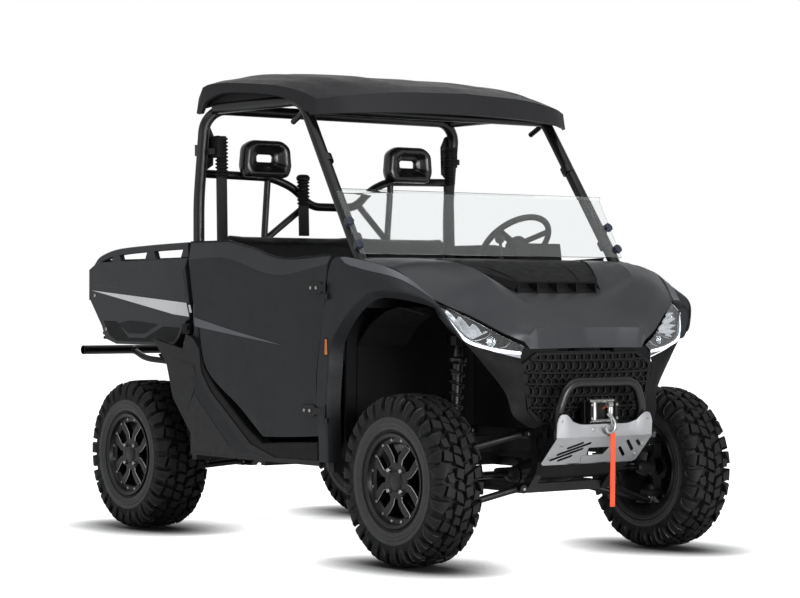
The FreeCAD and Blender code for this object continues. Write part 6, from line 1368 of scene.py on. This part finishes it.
for index in range(bedSizes["floorRibs"]):
    y = (index - bedSizes["floorRibs"] // 2) * bedSizes["floorRibPitch"]
    tub.block((-1326, y - 16, 884), (-520, y + 16, 891))
for y in (-420, -140, 140, 420):
    tub.block((-521, y - 60, 930), (-516, y + 60, 1210))
show(tub, "bed tub", [linerPlastic], 2.0, 30, body="bed")
lamps = Form()
for x, near, far, z0, z1, depth, mark, inset in ((-1391, 664, 692, 1062, 1122, 9, 1, 2),
                                                 (-1391, 664, 692, 1128, 1186, 9, 1, 2),
                                                 (-1390.5, 660, 696, 1058, 1190, 3, 0, 1)):
    lamps.plate(facingX(x, ((near, z0), (far, z0), (far, z1), (near, z1))), at(-depth, 0, 0), mark, inset)
show(lamps.both(), "tail lamps", [trimPlastic, redLens], 0.4, body="bed")

gateSizes = {"half": 640, "rodX": -1352, "rodZ": 900, "rodRadius": 8}
gate = Form()
gateHalf, rodX, rodZ = gateSizes["half"], gateSizes["rodX"], gateSizes["rodZ"]
skinLoop = ((-gateHalf, 912), (gateHalf, 912), (gateHalf, 1216), (-gateHalf, 1216))
fieldLoop = ((-560, 950), (560, 950), (530, 1130), (-530, 1130))
gate.plate(facingX(-1330.3, skinLoop), at(-22, 0, 0), 0, 5)
gate.plate(facingX(-1351, fieldLoop), at(-4, 0, 0), 0, 3)
gate.rod(at(rodX, -gateHalf, rodZ), at(rodX, gateHalf, rodZ), gateSizes["rodRadius"], 24, 1)
for y in (-560, -200, 200, 560):
    gate.block((rodX - 9, y - 30, rodZ), (rodX + 9, y + 30, rodZ + 30), 1)
gate.plate(facingX(rodX, ((-70, 1168), (70, 1168), (60, 1200), (-60, 1200))), at(-12, 0, 0), 1, 3)  # handle
show(gate, "tailgate", [bodyPaint, trimPlastic], 1.2, 28, body="tailgate")

bumperSizes = {"x": -1558, "z": 815, "half": 640, "radius": 22, "arm": 15}
bumper = Form()
bumperX, bumperZ, bumperHalf = bumperSizes["x"], bumperSizes["z"], bumperSizes["half"]
bumper.rod(at(bumperX, -bumperHalf, bumperZ), at(bumperX, bumperHalf, bumperZ), bumperSizes["radius"], 32, 0, 2)
for side in (-1, 1):
    bumper.turned(at(bumperX, side * (bumperHalf - 2), bumperZ), (0, side, 0), [(-6, 22), (0, 22), (2, 20), (2, pin)],
                  32, 1)
arm = Form()
upperArmPath = [at(bumperX, 360, bumperZ), at(-1430, 360, 772), at(-1240, 234, 748), at(-1172, 234, 742)]
arm.tube(upperArmPath, bumperSizes["arm"], 44, 20)
arm.tube([at(-1540, 90, 806), at(-1240, 234, 684), at(-1160, 234, 672)], bumperSizes["arm"], 30, 20)
arm.turned(at(-1560, 360, bumperZ), (1, 0, -0.2), [(0, 15), (0, 20), (26, 20), (30, 15)], 24)
bumper.join(arm.both())
show(bumper, "rear bumper", [cageCoat, trimPlastic], 0.6)
print("stage: bed and bumper made")

# floor, lights and camera
stageSizes = {"floorHalf": 60, "floorZ": -0.0015, "cameraPlace": (8.632, -6.272, 1.043), "tilt": 90.1,
              "azimuth": 53.42, "lens": 106.3, "sensor": 36, "shadowReach": 0.3, "shadowPower": 5.0,
              "worldLight": 0.32}
bpy.ops.mesh.primitive_grid_add(x_subdivisions=8, y_subdivisions=8, size=2 * stageSizes["floorHalf"],
                                location=(0, 0, stageSizes["floorZ"]))
floor = bpy.context.object
floor.name = "pale_floor"


def seenRays(tree, share=0.45):  # 1 where the eye sees it straight or through glass, and a share of that in reflections
    path = addNode(tree, "ShaderNodeLightPath")
    dimmed = combined(tree, "MULTIPLY", path.outputs["Is Glossy Ray"], share)
    seen = combined(tree, "MAXIMUM", path.outputs["Is Camera Ray"], dimmed)
    return combined(tree, "MAXIMUM", seen, path.outputs["Is Transmission Ray"])


floorLook = finish("pale studio floor", "#f2f2f2", "#ededed", 0.75, 0.05, 2600, 900, "noise", 60, 0.02)
floor.data.materials.append(floorLook)
tree = floorLook.node_tree
# painted contact shadow: ambient occlusion darkens the floor's colour and cuts its glow close under the tyres and other
# low parts
near = addNode(tree, "ShaderNodeAmbientOcclusion", options={"samples": 12},
               values={"Distance": stageSizes["shadowReach"]})
depth = combined(tree, "POWER", near.outputs["AO"], stageSizes["shadowPower"])  # dark close under the tyres
lift = combined(tree, "MULTIPLY", depth, seenRays(tree))
shine = tree.nodes["Principled BSDF"]
shine.inputs["Emission Color"].default_value = (1, 1, 1, 1)
tone = shine.inputs["Base Color"].links[0].from_socket
# mixes the floor's colour towards near black where the painted shadow falls
paintedShadowMix = addNode(tree, "ShaderNodeMix", options={"data_type": "RGBA"}, values={6: hexColour("#0c0c0d")},
              wires={0: depth, 7: tone})
tree.links.new(paintedShadowMix.outputs[2], shine.inputs["Base Color"])
tree.links.new(lift, shine.inputs["Emission Strength"])


def softBox(name, place, aim, width, height, power):
    data = bpy.data.lights.new(name, "AREA")
    data.shape = "RECTANGLE"
    data.size, data.size_y = width, height
    data.energy = power
    lamp = bpy.data.objects.new(name, data)
    bpy.context.scene.collection.objects.link(lamp)
    lamp.location = place
    lamp.rotation_euler = (Vector(aim) - Vector(place)).to_track_quat("-Z", "Y").to_euler()


lightPower = {"over": 105, "key": 380, "side": 50, "back": 50}
softBox("overhead box", (1.0, -1.2, 5.4), (0.2, -0.2, 0.6), 6.0, 4.6, lightPower["over"])
softBox("front box", (7.0, -0.4, 1.5), (0.6, 0, 0.9), 4.2, 1.8, lightPower["key"])
softBox("side box", (-1.0, -6.5, 2.2), (-0.2, -0.4, 0.8), 5.5, 2.0, lightPower["side"])
softBox("back box", (-5.5, 3.5, 3.4), (0, 0, 1.2), 4.0, 2.4, lightPower["back"])

world = bpy.data.worlds.new("white studio")
bpy.context.scene.world = world
world.use_nodes = True
tree = world.node_tree
background = tree.nodes["Background"]
background.inputs["Color"].default_value = hexColour("#e9edf2")
background.inputs["Strength"].default_value = stageSizes["worldLight"]
white = addNode(tree, "ShaderNodeBackground", values={"Color": (1, 1, 1, 1), "Strength": 1.0})
pick = addNode(tree, "ShaderNodeMixShader", wires={0: seenRays(tree), 1: background.outputs[0], 2: white.outputs[0]})
tree.links.new(pick.outputs[0], tree.nodes["World Output"].inputs["Surface"])

view = bpy.data.cameras.new("photo camera")
view.lens = stageSizes["lens"]
view.sensor_width = stageSizes["sensor"]
view.clip_end = 200
camera = bpy.data.objects.new("photo camera", view)
bpy.context.scene.collection.objects.link(camera)
camera.location = stageSizes["cameraPlace"]
camera.rotation_euler = (math.radians(stageSizes["tilt"]), 0, math.radians(stageSizes["azimuth"]))
bpy.context.scene.camera = camera
bpy.context.scene.view_settings.view_transform = "Standard"
print("stage: floor, lights and camera set")
